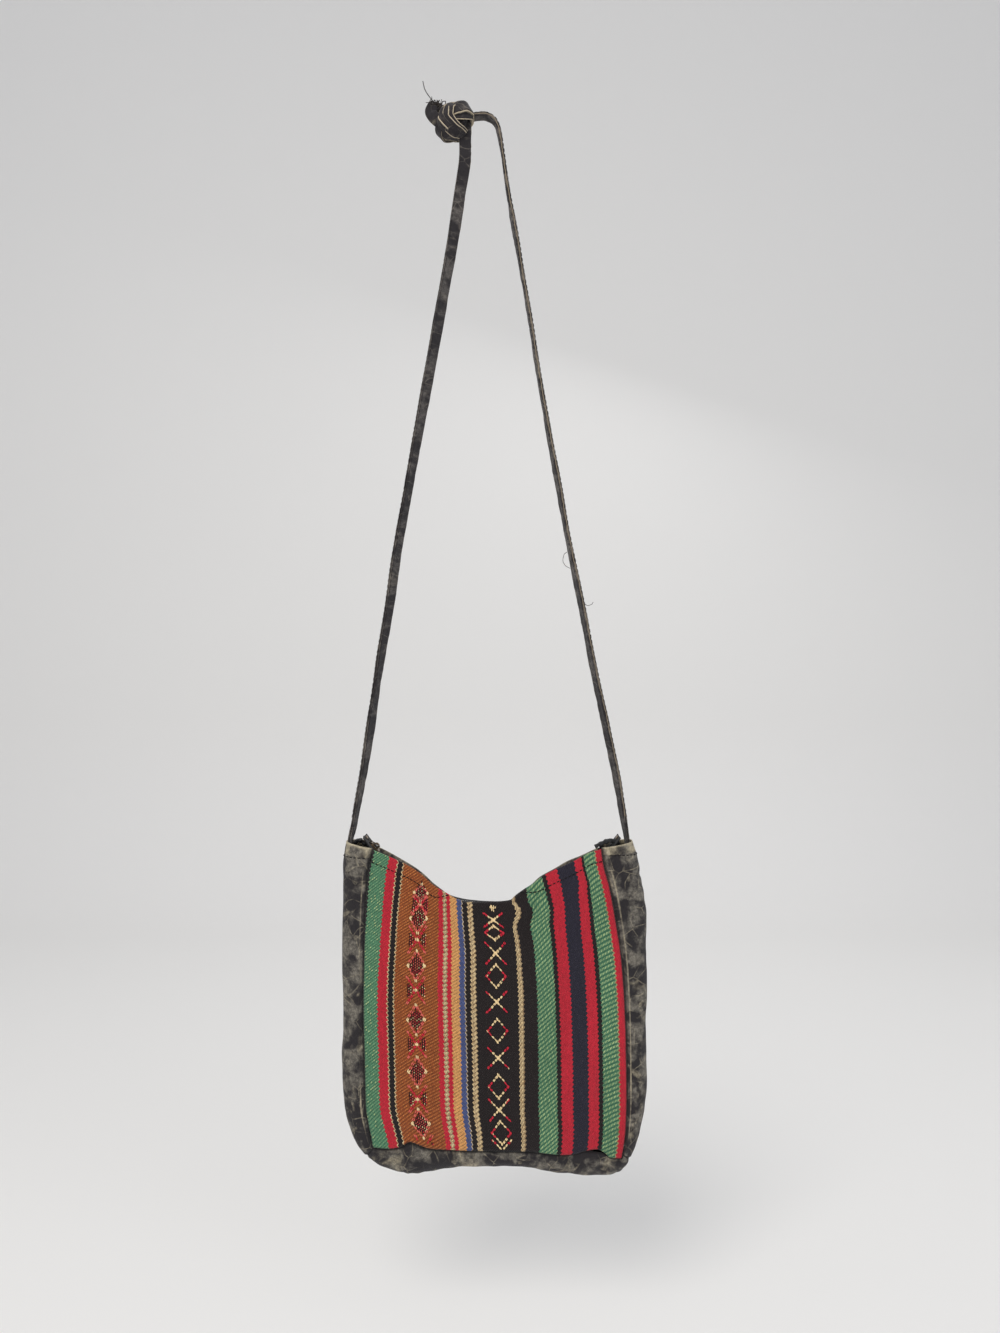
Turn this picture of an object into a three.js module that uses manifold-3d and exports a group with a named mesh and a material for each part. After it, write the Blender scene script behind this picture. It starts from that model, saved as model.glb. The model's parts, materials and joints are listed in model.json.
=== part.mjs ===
// Crossbody purse: a flat zipped bag of woven cloth on a knotted strap, hanging from one point.
// Millimetres, +Z up, the front faces -Y. The origin is the underside of the strap where it
// passes over whatever it hangs from.
import * as THREE from "three";
import { mergeVertices } from "three/addons/utils/BufferGeometryUtils.js";
import Module from "manifold-3d";

const wasm = await Module();
wasm.setup();

// ---------- driving dimensions ----------

const CLEARANCE = 0.3; // gap kept between pieces that touch

// bag
const BAG_X = 6; // the bag's middle, from the hang point
const RIM_Z = -552; // the mouth's two upper corners
const PANEL_HEIGHT = 230; // from those corners down to the bottom seam
const RIM_HALF = 88; // half width at the mouth
const BELLY_HALF = 97.5; // half width half way down
const BASE_HALF = 94; // half width at the bottom seam
const CORNER_RADIUS = 10; // bottom corners of the panels
const RIM_DIP = 44; // how far the mouth sags between its corners
const BAG_DEPTH = 25; // outside of the front panel to outside of the back panel
const PANEL_THICKNESS = 1.6;

// gusset, which bulges outward between the two panels
const GUSSET_BULGE = 18;
const GUSSET_WALL = 1.2;
const GUSSET_ROUNDNESS = 4; // power of the bulge: higher is squarer
const CORNER_BULGE = 11; // where the side and bottom gussets are sewn together
const CORNER_PINCH_LENGTH = 16; // how far from that seam the bulge narrows

// lining
const LINING_THICKNESS = 0.6;
const LINING_SLACK = 0.6; // gap to the panel behind it
const LINING_INSET = 2.5; // in from the panel's side seams
const LINING_DROP = 1.6; // below the zip

// zip, which lies along an arc
const ZIP_SINK = 3; // below the lowest point of the rim
const ZIP_OVERHANG = 9; // how far each end runs past the rim's corner, into the gusset
const ZIP_END_RISE = 4; // ends above the rim's corners
const TAPE_THICKNESS = 0.8;
const TAPE_TO_COIL = 0.4; // gap between a tape's inner edge and its coil
const COIL_INNER = 0.6; // half the slot between the two coils
const COIL_OUTER = 2.2;
const COIL_HEIGHT = 2;
const STOP_LENGTH = 2.4; // of arc
const STOP_HEIGHT = 3;

// slider and pull
const SLIDER_FROM_END = 11; // its middle from the zip's left end, along the arc, with the zip shut
const SLIDER_LENGTH = 9;
const SLIDER_FLANGE = 1.4; // on each side of the coils' channel
const SLIDER_PLATE = 0.9;
const SLIDER_PLAY = 0.4; // round the coils and the tapes
const NECK_THICKNESS = 0.6; // the wall that joins the plates, between the coils
const NECK_LENGTH = 2;
const BRIDGE_THICKNESS = 1.8;
const BRIDGE_HEIGHT = 3;
const BRIDGE_LENGTH = 5.4;
const PULL_WIRE = 1.2; // diameter
const EYE_CLEARANCE = 0.5; // round the wire, in the bridge
const PULL_LENGTH = 10; // between the wire's centre lines
const PULL_WIDTH = 6;
const PULL_LIFT_DEG = 166; // above the zip, at rest: it leans back over the zip's closed end

// strap
const STRAP_WIDTH = 9;
const STRAP_THICKNESS = 3;
const HINGE_RISE = 7.5; // the fold where the bag swings, above the rim's corners
const STRAP_END_GAP = 5.2; // between that fold and the end of each leg
const ANCHOR_LENGTH = 30; // strap sewn down inside the gusset
const ANCHOR_TO_GUSSET = 1.2;

// knot
const KNOT_X = -23;
const KNOT_Z = -2;
const KNOT_HALF_LENGTH = 14.5;
const KNOT_HALF_DEPTH = 12;
const KNOT_HALF_HEIGHT = 14.5;
const TAIL_WIDTH = 8;
const TAIL_THICKNESS = 2.4;

// ---------- values worked out from them ----------

const HALF_DEPTH = BAG_DEPTH / 2;
const BASE_Z = RIM_Z - PANEL_HEIGHT;
const INNER_DEPTH = HALF_DEPTH - PANEL_THICKNESS;
const HINGE_Z = RIM_Z + HINGE_RISE;

const zipHalfSpan = RIM_HALF + ZIP_OVERHANG;
const zipBottomZ = RIM_Z - RIM_DIP - ZIP_SINK;
const zipRise = RIM_Z + ZIP_END_RISE - zipBottomZ;
const ZIP_RADIUS = (zipHalfSpan ** 2 + zipRise ** 2) / (2 * zipRise);
const ZIP_CENTRE_Z = zipBottomZ + ZIP_RADIUS;
const ZIP_END_ANGLE = Math.asin(zipHalfSpan / ZIP_RADIUS);

// ---------- geometry helpers ----------

const OUTLINE_STEPS = 14; // along each side of a panel
const RIM_STEPS = 24;
const CORNER_STEPS = 4;
const ARC_STEPS = 36; // along the zip

// Turn a geometry the right way out, by its signed volume.
function facingOut(geometry) {
  const p = geometry.attributes.position;
  const index = geometry.index.array;
  const [a, b, c] = [new THREE.Vector3(), new THREE.Vector3(), new THREE.Vector3()];
  let volume = 0;
  for (let i = 0; i < index.length; i += 3) {
    a.fromBufferAttribute(p, index[i]);
    b.fromBufferAttribute(p, index[i + 1]);
    c.fromBufferAttribute(p, index[i + 2]);
    volume += a.dot(b.cross(c));
  }
  if (volume < 0) {
    for (let i = 0; i < index.length; i += 3) {
      [index[i + 1], index[i + 2]] = [index[i + 2], index[i + 1]];
    }
  }
  geometry.computeVertexNormals();
  return geometry;
}

// A skin over a row of rings with the same number of points, capped at both ends unless closed.
// The flat outline of a ring is `section`, whose points match the ring's.
function loft(rings, section, closed = false) {
  const n = rings[0].length;
  const geometry = new THREE.BufferGeometry().setFromPoints(rings.flat());
  const faces = [];
  const last = closed ? rings.length : rings.length - 1;
  for (let r = 0; r < last; r++) {
    const next = (r + 1) % rings.length;
    for (let i = 0; i < n; i++) {
      const j = (i + 1) % n;
      faces.push(r * n + i, r * n + j, next * n + j);
      faces.push(r * n + i, next * n + j, next * n + i);
    }
  }
  if (!closed) {
    const end = (rings.length - 1) * n;
    for (const [i, j, k] of THREE.ShapeUtils.triangulateShape(section, [])) {
      faces.push(i, k, j);
      faces.push(end + i, end + j, end + k);
    }
  }
  geometry.setIndex(faces);
  return facingOut(geometry);
}

// A flat plate: its outline lies in X and Z, and it fills y from `low` to `high`.
function plate(outline, low, high) {
  const shape = new THREE.Shape(outline);
  const geometry = new THREE.ExtrudeGeometry(shape, { depth: high - low, bevelEnabled: false });
  return geometry.rotateX(Math.PI / 2).translate(0, high, 0);
}

// A strip of cloth with rounded edges along a path in the XZ plane, its width along Y.
function strip(path, width, thickness, steps) {
  const w = width / 2;
  const t = thickness / 2;
  const r = t * 0.6;
  const section = new THREE.Shape([
    new THREE.Vector2(w - r, -t),
    new THREE.Vector2(w, -t + r),
    new THREE.Vector2(w, t - r),
    new THREE.Vector2(w - r, t),
    new THREE.Vector2(r - w, t),
    new THREE.Vector2(-w, t - r),
    new THREE.Vector2(-w, r - t),
    new THREE.Vector2(r - w, -t),
  ]);
  return new THREE.ExtrudeGeometry(section, { steps, extrudePath: path, bevelEnabled: false });
}

function curveXZ(points, y = 0) {
  return new THREE.CatmullRomCurve3(points.map(([x, z]) => new THREE.Vector3(x, y, z)));
}

function solid(geometry) {
  const bare = geometry.clone();
  bare.deleteAttribute("normal");
  bare.deleteAttribute("uv");
  const merged = mergeVertices(bare, 1e-3);
  return new wasm.Manifold(
    new wasm.Mesh({
      numProp: 3,
      vertProperties: merged.attributes.position.array,
      triVerts: new Uint32Array(merged.index.array),
    }),
  );
}

function geometryOf(manifold) {
  const mesh = manifold.getMesh();
  const geometry = new THREE.BufferGeometry();
  geometry.setAttribute("position", new THREE.BufferAttribute(mesh.vertProperties, 3));
  geometry.setIndex(new THREE.BufferAttribute(mesh.triVerts, 1));
  geometry.computeVertexNormals();
  return geometry;
}

// ---------- materials ----------

function cloth(color) {
  return new THREE.MeshStandardMaterial({ color, roughness: 0.92, metalness: 0 });
}
const woven = cloth(0x8c3a30);
const denim = cloth(0x47423f);
const liningCloth = cloth(0x2a2a2e);
const tape = cloth(0x17171a);
const coilPlastic = new THREE.MeshStandardMaterial({ color: 0x101013, roughness: 0.45 });
const blackMetal = new THREE.MeshStandardMaterial({ color: 0x2a2624, roughness: 0.35, metalness: 0.9 });

const purse = new THREE.Group();

function add(name, geometry, material, parent = purse) {
  const mesh = new THREE.Mesh(geometry, material);
  mesh.name = name;
  parent.add(mesh);
  return mesh;
}

// ---------- outline of the bag ----------

// One side seam of a panel, from the mouth's corner down to where the bottom corner begins,
// as half widths and heights. The middle control point makes it pass the belly's half width.
const sideSeam = new THREE.QuadraticBezierCurve(
  new THREE.Vector2(RIM_HALF, RIM_Z),
  new THREE.Vector2(2 * BELLY_HALF - (RIM_HALF + BASE_HALF) / 2, (RIM_Z + BASE_Z + CORNER_RADIUS) / 2),
  new THREE.Vector2(BASE_HALF, BASE_Z + CORNER_RADIUS),
);

// The point of a bottom corner at an angle from the side seam (0) to the bottom seam (90 degrees).
function cornerPoint(angle, inset = 0) {
  const r = CORNER_RADIUS - inset;
  const x = BASE_HALF - CORNER_RADIUS + r * Math.cos(angle);
  const z = BASE_Z + CORNER_RADIUS - r * Math.sin(angle);
  return new THREE.Vector2(x, z);
}

// Right half of the seam from the top down to the middle of the bottom, set in by `inset`,
// with only the points below `topZ`.
function halfOutline(inset, topZ) {
  const points = [];
  for (let i = 0; i <= OUTLINE_STEPS; i++) {
    const p = sideSeam.getPoint(i / OUTLINE_STEPS);
    if (p.y < topZ) points.push(new THREE.Vector2(p.x - inset, p.y));
  }
  for (let i = 1; i <= CORNER_STEPS; i++) {
    points.push(cornerPoint(((i / CORNER_STEPS) * Math.PI) / 2, inset));
  }
  return points;
}

// A closed outline from a top edge, given from left to right, and the seams below it.
function panelOutline(top, inset, topZ) {
  const right = halfOutline(inset, topZ);
  const left = right.map((p) => new THREE.Vector2(-p.x, p.y)).reverse();
  return [...top, ...right, ...left].map((p) => new THREE.Vector2(BAG_X + p.x, p.y));
}

// The sagging rim is a raised cosine between its two corners.
function rimDrop(u) {
  return RIM_DIP * (0.5 + 0.5 * Math.cos(Math.PI * u));
}
const rim = [];
for (let i = 0; i <= RIM_STEPS; i++) {
  const u = (2 * i) / RIM_STEPS - 1;
  rim.push(new THREE.Vector2(u * RIM_HALF, RIM_Z - rimDrop(u)));
}

// ---------- panels and lining ----------

const panel = panelOutline(rim, 0, RIM_Z);
add("front_panel", plate(panel, -HALF_DEPTH, -INNER_DEPTH), woven);
add("back_panel", plate(panel, INNER_DEPTH, HALF_DEPTH), denim);

function zipPoint(angle, radius) {
  return new THREE.Vector2(radius * Math.sin(angle), ZIP_CENTRE_Z - radius * Math.cos(angle));
}

const liningRadius = ZIP_RADIUS + LINING_DROP;
const liningTopAngle = Math.asin((RIM_HALF - LINING_INSET) / liningRadius);
const liningTop = [];
for (let i = 0; i <= RIM_STEPS; i++) {
  liningTop.push(zipPoint(((2 * i) / RIM_STEPS - 1) * liningTopAngle, liningRadius));
}
const lining = panelOutline(liningTop, LINING_INSET, liningTop[0].y);
const liningOuter = INNER_DEPTH - LINING_SLACK;
const liningInner = liningOuter - LINING_THICKNESS;
add("lining_front", plate(lining, -liningOuter, -liningInner), liningCloth);
add("lining_back", plate(lining, liningInner, liningOuter), liningCloth);

// ---------- gusset ----------

// The gusset's section: how far it bulges at each place across the bag's depth.
const GUSSET_POINTS = [-1, -0.93, -0.82, -0.66, -0.4, 0, 0.4, 0.66, 0.82, 0.93, 1];

function bulgeAt(u, bulge) {
  return bulge * (1 - Math.abs(u) ** GUSSET_ROUNDNESS);
}

function gussetSection(bulge) {
  const outer = GUSSET_POINTS.map(
    (u) => new THREE.Vector2(CLEARANCE + bulgeAt(u, bulge), u * HALF_DEPTH),
  );
  const inner = GUSSET_POINTS.map(
    (u) => new THREE.Vector2(CLEARANCE + bulgeAt(u, bulge - GUSSET_WALL), u * (HALF_DEPTH - GUSSET_WALL)),
  );
  return [...outer, ...inner.reverse()];
}

// A ring of the gusset at a point of the seam with its outward direction in the XZ plane.
function gussetRing(point, outward, bulge) {
  return gussetSection(bulge).map(
    (p) => new THREE.Vector3(point.x + outward.x * p.x, p.y, point.y + outward.y * p.x),
  );
}

const MITRE = Math.PI / 4;
const MITRE_GAP = CLEARANCE / 2 / CORNER_RADIUS; // angle of half the gap at the mitre

// Bulge at a distance along the seam from the mitre.
function pinchedBulge(distance) {
  const t = Math.min(1, distance / CORNER_PINCH_LENGTH);
  return CORNER_BULGE + (GUSSET_BULGE - CORNER_BULGE) * Math.sin((t * Math.PI) / 2);
}

const PINCH_STEPS = 4;

function cornerStation(angle) {
  const outward = new THREE.Vector2(Math.cos(angle), -Math.sin(angle));
  const bulge = pinchedBulge(CORNER_RADIUS * Math.abs(angle - MITRE));
  return { point: cornerPoint(angle), outward, bulge };
}

// Stations down the right side: the seam, then half of the bottom corner.
function sideStations() {
  const stations = [];
  const length = sideSeam.getLength();
  const cornerLength = CORNER_RADIUS * MITRE;
  for (let i = 0; i <= OUTLINE_STEPS; i++) {
    const u = i / OUTLINE_STEPS;
    const tangent = sideSeam.getTangentAt(u);
    const outward = new THREE.Vector2(-tangent.y, tangent.x);
    const bulge = pinchedBulge(length * (1 - u) + cornerLength);
    stations.push({ point: sideSeam.getPointAt(u), outward, bulge });
  }
  for (let i = 1; i <= PINCH_STEPS; i++) {
    const angle = (i / PINCH_STEPS) * (MITRE - MITRE_GAP);
    stations.push(cornerStation(angle));
  }
  return stations;
}

// Stations from the right bottom corner's mitre to the middle of the bottom.
function bottomStations() {
  const stations = [];
  for (let i = 0; i <= PINCH_STEPS; i++) {
    const angle = MITRE + MITRE_GAP + (i / PINCH_STEPS) * (MITRE - MITRE_GAP);
    stations.push(cornerStation(angle));
  }
  const start = BASE_HALF - CORNER_RADIUS;
  for (let i = 1; i <= OUTLINE_STEPS / 2; i++) {
    const run = (start * i) / (OUTLINE_STEPS / 2);
    const point = new THREE.Vector2(start - run, BASE_Z);
    const bulge = pinchedBulge(CORNER_RADIUS * MITRE + run);
    stations.push({ point, outward: new THREE.Vector2(0, -1), bulge });
  }
  return stations;
}

function mirrored({ point, outward, bulge }) {
  return {
    point: new THREE.Vector2(-point.x, point.y),
    outward: new THREE.Vector2(-outward.x, outward.y),
    bulge,
  };
}

function gusset(stations) {
  const rings = stations.map((s) => gussetRing(s.point, s.outward, s.bulge));
  return loft(rings, gussetSection(GUSSET_BULGE)).translate(BAG_X, 0, 0);
}

const rightSide = sideStations();
const rightBottom = bottomStations();
const leftBottom = rightBottom.slice(0, -1).map(mirrored).reverse();
add("gusset_left", gusset(rightSide.map(mirrored)), denim);
add("gusset_right", gusset(rightSide), denim);
add("gusset_bottom", gusset([...rightBottom, ...leftBottom]), denim);

// ---------- zip ----------

// Room for the zip across the bag's depth, at a half width: the panels, then the gusset.
function roomAt(halfWidth) {
  const out = Math.max(0, halfWidth - RIM_HALF);
  const left = Math.max(0, 1 - out / (GUSSET_BULGE - GUSSET_WALL));
  const behindGusset = (HALF_DEPTH - GUSSET_WALL) * left ** (1 / GUSSET_ROUNDNESS);
  return Math.min(INNER_DEPTH, behindGusset) - CLEARANCE;
}

// A bar that follows the zip's arc between two angles, on one side of the middle.
// `outerAt` gives its outer edge at a half width.
function arcBar(from, to, side, inner, outerAt, height, steps) {
  const rings = [];
  const h = height / 2;
  for (let i = 0; i <= steps; i++) {
    const angle = from + ((to - from) * i) / steps;
    const low = zipPoint(angle, ZIP_RADIUS + h);
    const high = zipPoint(angle, ZIP_RADIUS - h);
    const outer = outerAt(Math.abs(low.x));
    rings.push([
      new THREE.Vector3(low.x, side * inner, low.y),
      new THREE.Vector3(low.x, side * outer, low.y),
      new THREE.Vector3(high.x, side * outer, high.y),
      new THREE.Vector3(high.x, side * inner, high.y),
    ]);
  }
  const square = [
    new THREE.Vector2(0, 0),
    new THREE.Vector2(1, 0),
    new THREE.Vector2(1, 1),
    new THREE.Vector2(0, 1),
  ];
  return loft(rings, square).translate(BAG_X, 0, 0);
}

const tapeInner = COIL_OUTER + TAPE_TO_COIL;
const stopAngle = STOP_LENGTH / ZIP_RADIUS;
const gapAngle = CLEARANCE / ZIP_RADIUS;
const coilEnd = ZIP_END_ANGLE - stopAngle - gapAngle;
for (const [name, side] of [["front", -1], ["back", 1]]) {
  const tapeBar = arcBar(-ZIP_END_ANGLE, ZIP_END_ANGLE, side, tapeInner, roomAt, TAPE_THICKNESS, ARC_STEPS);
  add(`zip_tape_${name}`, tapeBar, tape);
  const coilBar = arcBar(-coilEnd, coilEnd, side, COIL_INNER, () => COIL_OUTER, COIL_HEIGHT, ARC_STEPS);
  add(`zip_coil_${name}`, coilBar, coilPlastic);
}

// Each stop is a small staple across both coils' ends, between the two tapes.
for (const [name, side] of [["left", -1], ["right", 1]]) {
  const from = side * (ZIP_END_ANGLE - stopAngle);
  const bar = arcBar(from, side * ZIP_END_ANGLE, 1, -COIL_OUTER, () => COIL_OUTER, STOP_HEIGHT, 1);
  add(`zip_stop_${name}`, bar, blackMetal);
}

// ---------- slider and pull ----------

// Both are drawn on the zip's line: X along the zip, towards the middle of the bag at rest,
// Z across it, towards the arc's centre.
const sliderPlace = new THREE.Group();
const restAngle = SLIDER_FROM_END / ZIP_RADIUS - ZIP_END_ANGLE;
const restPoint = zipPoint(restAngle, ZIP_RADIUS);
sliderPlace.position.set(BAG_X + restPoint.x, 0, restPoint.y);
sliderPlace.rotation.y = -restAngle;
purse.add(sliderPlace);

function block(x, y, z, width, depth, height) {
  return solid(new THREE.BoxGeometry(width, depth, height).translate(x, y, z));
}

const coilRoom = COIL_HEIGHT + 2 * SLIDER_PLAY;
const tapeRoom = TAPE_THICKNESS + 2 * SLIDER_PLAY;
const sliderHeight = coilRoom + 2 * SLIDER_PLATE;
const coilRoomHalfWidth = COIL_OUTER + SLIDER_PLAY;
const sliderHalfWidth = coilRoomHalfWidth + SLIDER_FLANGE;
const sliderTop = sliderHeight / 2;

// One plate seen from above: wide shoulders where the coils part, narrower behind.
const half = SLIDER_LENGTH / 2;
const shoulder = 0.55; // where the shoulders end, as a share of half the length
const nose = 0.6; // the nose's width, as a share of the shoulders'
const waist = 0.82; // the tail's width, as a share of the shoulders'
const planOutline = new THREE.Shape([
  new THREE.Vector2(-half, -nose * sliderHalfWidth),
  new THREE.Vector2(-half * shoulder, -sliderHalfWidth),
  new THREE.Vector2(half, -waist * sliderHalfWidth),
  new THREE.Vector2(half, waist * sliderHalfWidth),
  new THREE.Vector2(-half * shoulder, sliderHalfWidth),
  new THREE.Vector2(-half, nose * sliderHalfWidth),
]);
const sliderBody = solid(
  new THREE.ExtrudeGeometry(planOutline, { depth: sliderHeight, bevelEnabled: false }).translate(
    0,
    0,
    -sliderTop,
  ),
);
const beyond = 2 * SLIDER_LENGTH; // a cutter longer than the slider
const coilChannel = block(0, 0, 0, beyond, 2 * coilRoomHalfWidth, coilRoom);
const tapeSlot = block(0, 0, 0, beyond, beyond, tapeRoom);
const neck = block(NECK_LENGTH / 2 - half, 0, 0, NECK_LENGTH, NECK_THICKNESS, coilRoom + SLIDER_PLATE);

// The bridge is an arch over the slider that the pull's wire passes through.
const bridgeTop = sliderTop + BRIDGE_HEIGHT;
const bridgeFoot = sliderTop - SLIDER_PLATE / 2; // sunk into the plate
const bridgeHaunch = sliderTop + 0.6 * BRIDGE_HEIGHT;
const bridgeHalf = BRIDGE_LENGTH / 2;
const haunchHalf = 0.8 * bridgeHalf;
const crownHalf = bridgeHalf / 3;
const eyeRadius = PULL_WIRE / 2 + EYE_CLEARANCE;
const eyeHeight = sliderTop + eyeRadius;
const bridgeShape = new THREE.Shape([
  new THREE.Vector2(-bridgeHalf, bridgeFoot),
  new THREE.Vector2(bridgeHalf, bridgeFoot),
  new THREE.Vector2(haunchHalf, bridgeHaunch),
  new THREE.Vector2(crownHalf, bridgeTop),
  new THREE.Vector2(-crownHalf, bridgeTop),
  new THREE.Vector2(-haunchHalf, bridgeHaunch),
]);
const bridge = solid(
  new THREE.ExtrudeGeometry(bridgeShape, { depth: BRIDGE_THICKNESS, bevelEnabled: false })
    .rotateX(Math.PI / 2)
    .translate(0, BRIDGE_THICKNESS / 2, 0),
);
const eye = solid(
  new THREE.CylinderGeometry(eyeRadius, eyeRadius, 2 * BRIDGE_THICKNESS, 12).translate(0, 0, eyeHeight),
);
const slider = sliderBody.subtract(coilChannel).subtract(tapeSlot).add(neck).add(bridge.subtract(eye));
add("zip_slider", geometryOf(slider), blackMetal, sliderPlace);

// The pull is a long loop of wire whose near end lies in the bridge's eye.
const PULL_END_STEPS = 6;
const WIRE_SIDES = 8;
const pullPath = [];
for (const [end, start] of [[0, Math.PI / 2], [PULL_LENGTH, -Math.PI / 2]]) {
  const endRadius = PULL_WIDTH / 2;
  const centre = end === 0 ? endRadius : PULL_LENGTH - endRadius;
  for (let i = 0; i <= PULL_END_STEPS; i++) {
    const a = start + (Math.PI * i) / PULL_END_STEPS;
    pullPath.push(new THREE.Vector2(centre + endRadius * Math.cos(a), endRadius * Math.sin(a)));
  }
}
const pullRings = pullPath.map((p, i) => {
  const before = pullPath[(i + pullPath.length - 1) % pullPath.length];
  const after = pullPath[(i + 1) % pullPath.length];
  const along = after.clone().sub(before).normalize();
  const ring = [];
  for (let k = 0; k < WIRE_SIDES; k++) {
    const a = (2 * Math.PI * k) / WIRE_SIDES;
    const out = (PULL_WIRE / 2) * Math.cos(a);
    ring.push(new THREE.Vector3(p.x + along.y * out, p.y - along.x * out, (PULL_WIRE / 2) * Math.sin(a)));
  }
  return ring;
});
const pull = add("zip_pull", loft(pullRings, [], true), blackMetal, sliderPlace);
pull.position.set(0, 0, eyeHeight);
pull.rotation.y = -THREE.MathUtils.degToRad(PULL_LIFT_DEG);

// ---------- strap ----------

// Where each leg stands at the fold: flat against the inside of the gusset's side.
const seamLean = sideSeam.getTangent(0);
const strapHalfSpread =
  RIM_HALF + GUSSET_BULGE - GUSSET_WALL - ANCHOR_TO_GUSSET - STRAP_THICKNESS / 2 + CLEARANCE;

// A point below or above a leg's foot along the lean of the side seam; `down` is in height.
function footPoint(side, down) {
  const out = (seamLean.x / -seamLean.y) * (down - HINGE_RISE);
  return [BAG_X + side * (strapHalfSpread + out), HINGE_Z - down];
}

for (const [name, side] of [["left", -1], ["right", 1]]) {
  const path = curveXZ([0.5, ANCHOR_LENGTH / 2, ANCHOR_LENGTH].map((down) => footPoint(side, down)));
  add(`strap_end_${name}`, strip(path, STRAP_WIDTH, STRAP_THICKNESS, 4), denim);
}

// The legs run from the bag up to the knot. The right one passes over the hang point first.
const leftLeg = curveXZ([
  footPoint(-1, -STRAP_END_GAP),
  [-76.5, -398],
  [-54, -261],
  [-33, -146],
  [-19, -62],
  [-14.5, -26],
  [-14.5, -9],
]);
const rightLeg = curveXZ([
  footPoint(1, -STRAP_END_GAP),
  [79.5, -398],
  [61, -306],
  [36, -160],
  [19.5, -60],
  [13.4, -21],
  [11, -9],
  [7, -1.6],
  [0, STRAP_THICKNESS / 2],
  [-8, 0.8],
  [-15, -0.5],
]);
const LEG_STEPS = 34;
add("strap_left", strip(leftLeg, STRAP_WIDTH, STRAP_THICKNESS, LEG_STEPS), denim);
add("strap_right", strip(rightLeg, STRAP_WIDTH, STRAP_THICKNESS, LEG_STEPS + 20), denim);

// ---------- knot ----------

const tails = [
  ["front", curveXZ([[-33, -12], [-40.5, -5], [-41, 3], [-36, 12.5]], -5)],
  ["back", curveXZ([[-31, -8], [-35.5, -1], [-36, 6], [-31, 13.5]], 5)],
];
const TAIL_STEPS = 8;

// Each strip passes into the knot with a clearance round it.
const gapBoth = 2 * CLEARANCE;
const pastEnd = 4; // the channel runs on beyond the strip's end
function lengthened(curve) {
  const points = curve.points.map((p) => p.clone());
  const last = points.length - 1;
  const onward = points[last].clone().sub(points[last - 1]).setLength(pastEnd * CLEARANCE);
  points[last].add(onward);
  return new THREE.CatmullRomCurve3(points);
}
let knot = solid(
  new THREE.SphereGeometry(1, 20, 14)
    .scale(KNOT_HALF_LENGTH, KNOT_HALF_DEPTH, KNOT_HALF_HEIGHT)
    .translate(KNOT_X, 0, KNOT_Z),
);
for (const leg of [leftLeg, rightLeg]) {
  const channel = strip(lengthened(leg), STRAP_WIDTH + gapBoth, STRAP_THICKNESS + gapBoth, LEG_STEPS + 20);
  knot = knot.subtract(solid(channel));
}
for (const [name, path] of tails) {
  add(`strap_tail_${name}`, strip(path, TAIL_WIDTH, TAIL_THICKNESS, TAIL_STEPS), denim);
  const [first, second, ...others] = path.points;
  const start = first.clone().sub(second).setLength(pastEnd * CLEARANCE).add(first);
  const room = new THREE.CatmullRomCurve3([start, second, ...others]);
  knot = knot.subtract(solid(strip(room, TAIL_WIDTH + gapBoth, TAIL_THICKNESS + gapBoth, TAIL_STEPS)));
}
add("strap_knot", geometryOf(knot), denim);

export default purse;
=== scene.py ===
"""Builds the looks of a flat woven shoulder bag, hanging by its knotted strap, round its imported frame."""

import json
import math

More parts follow.
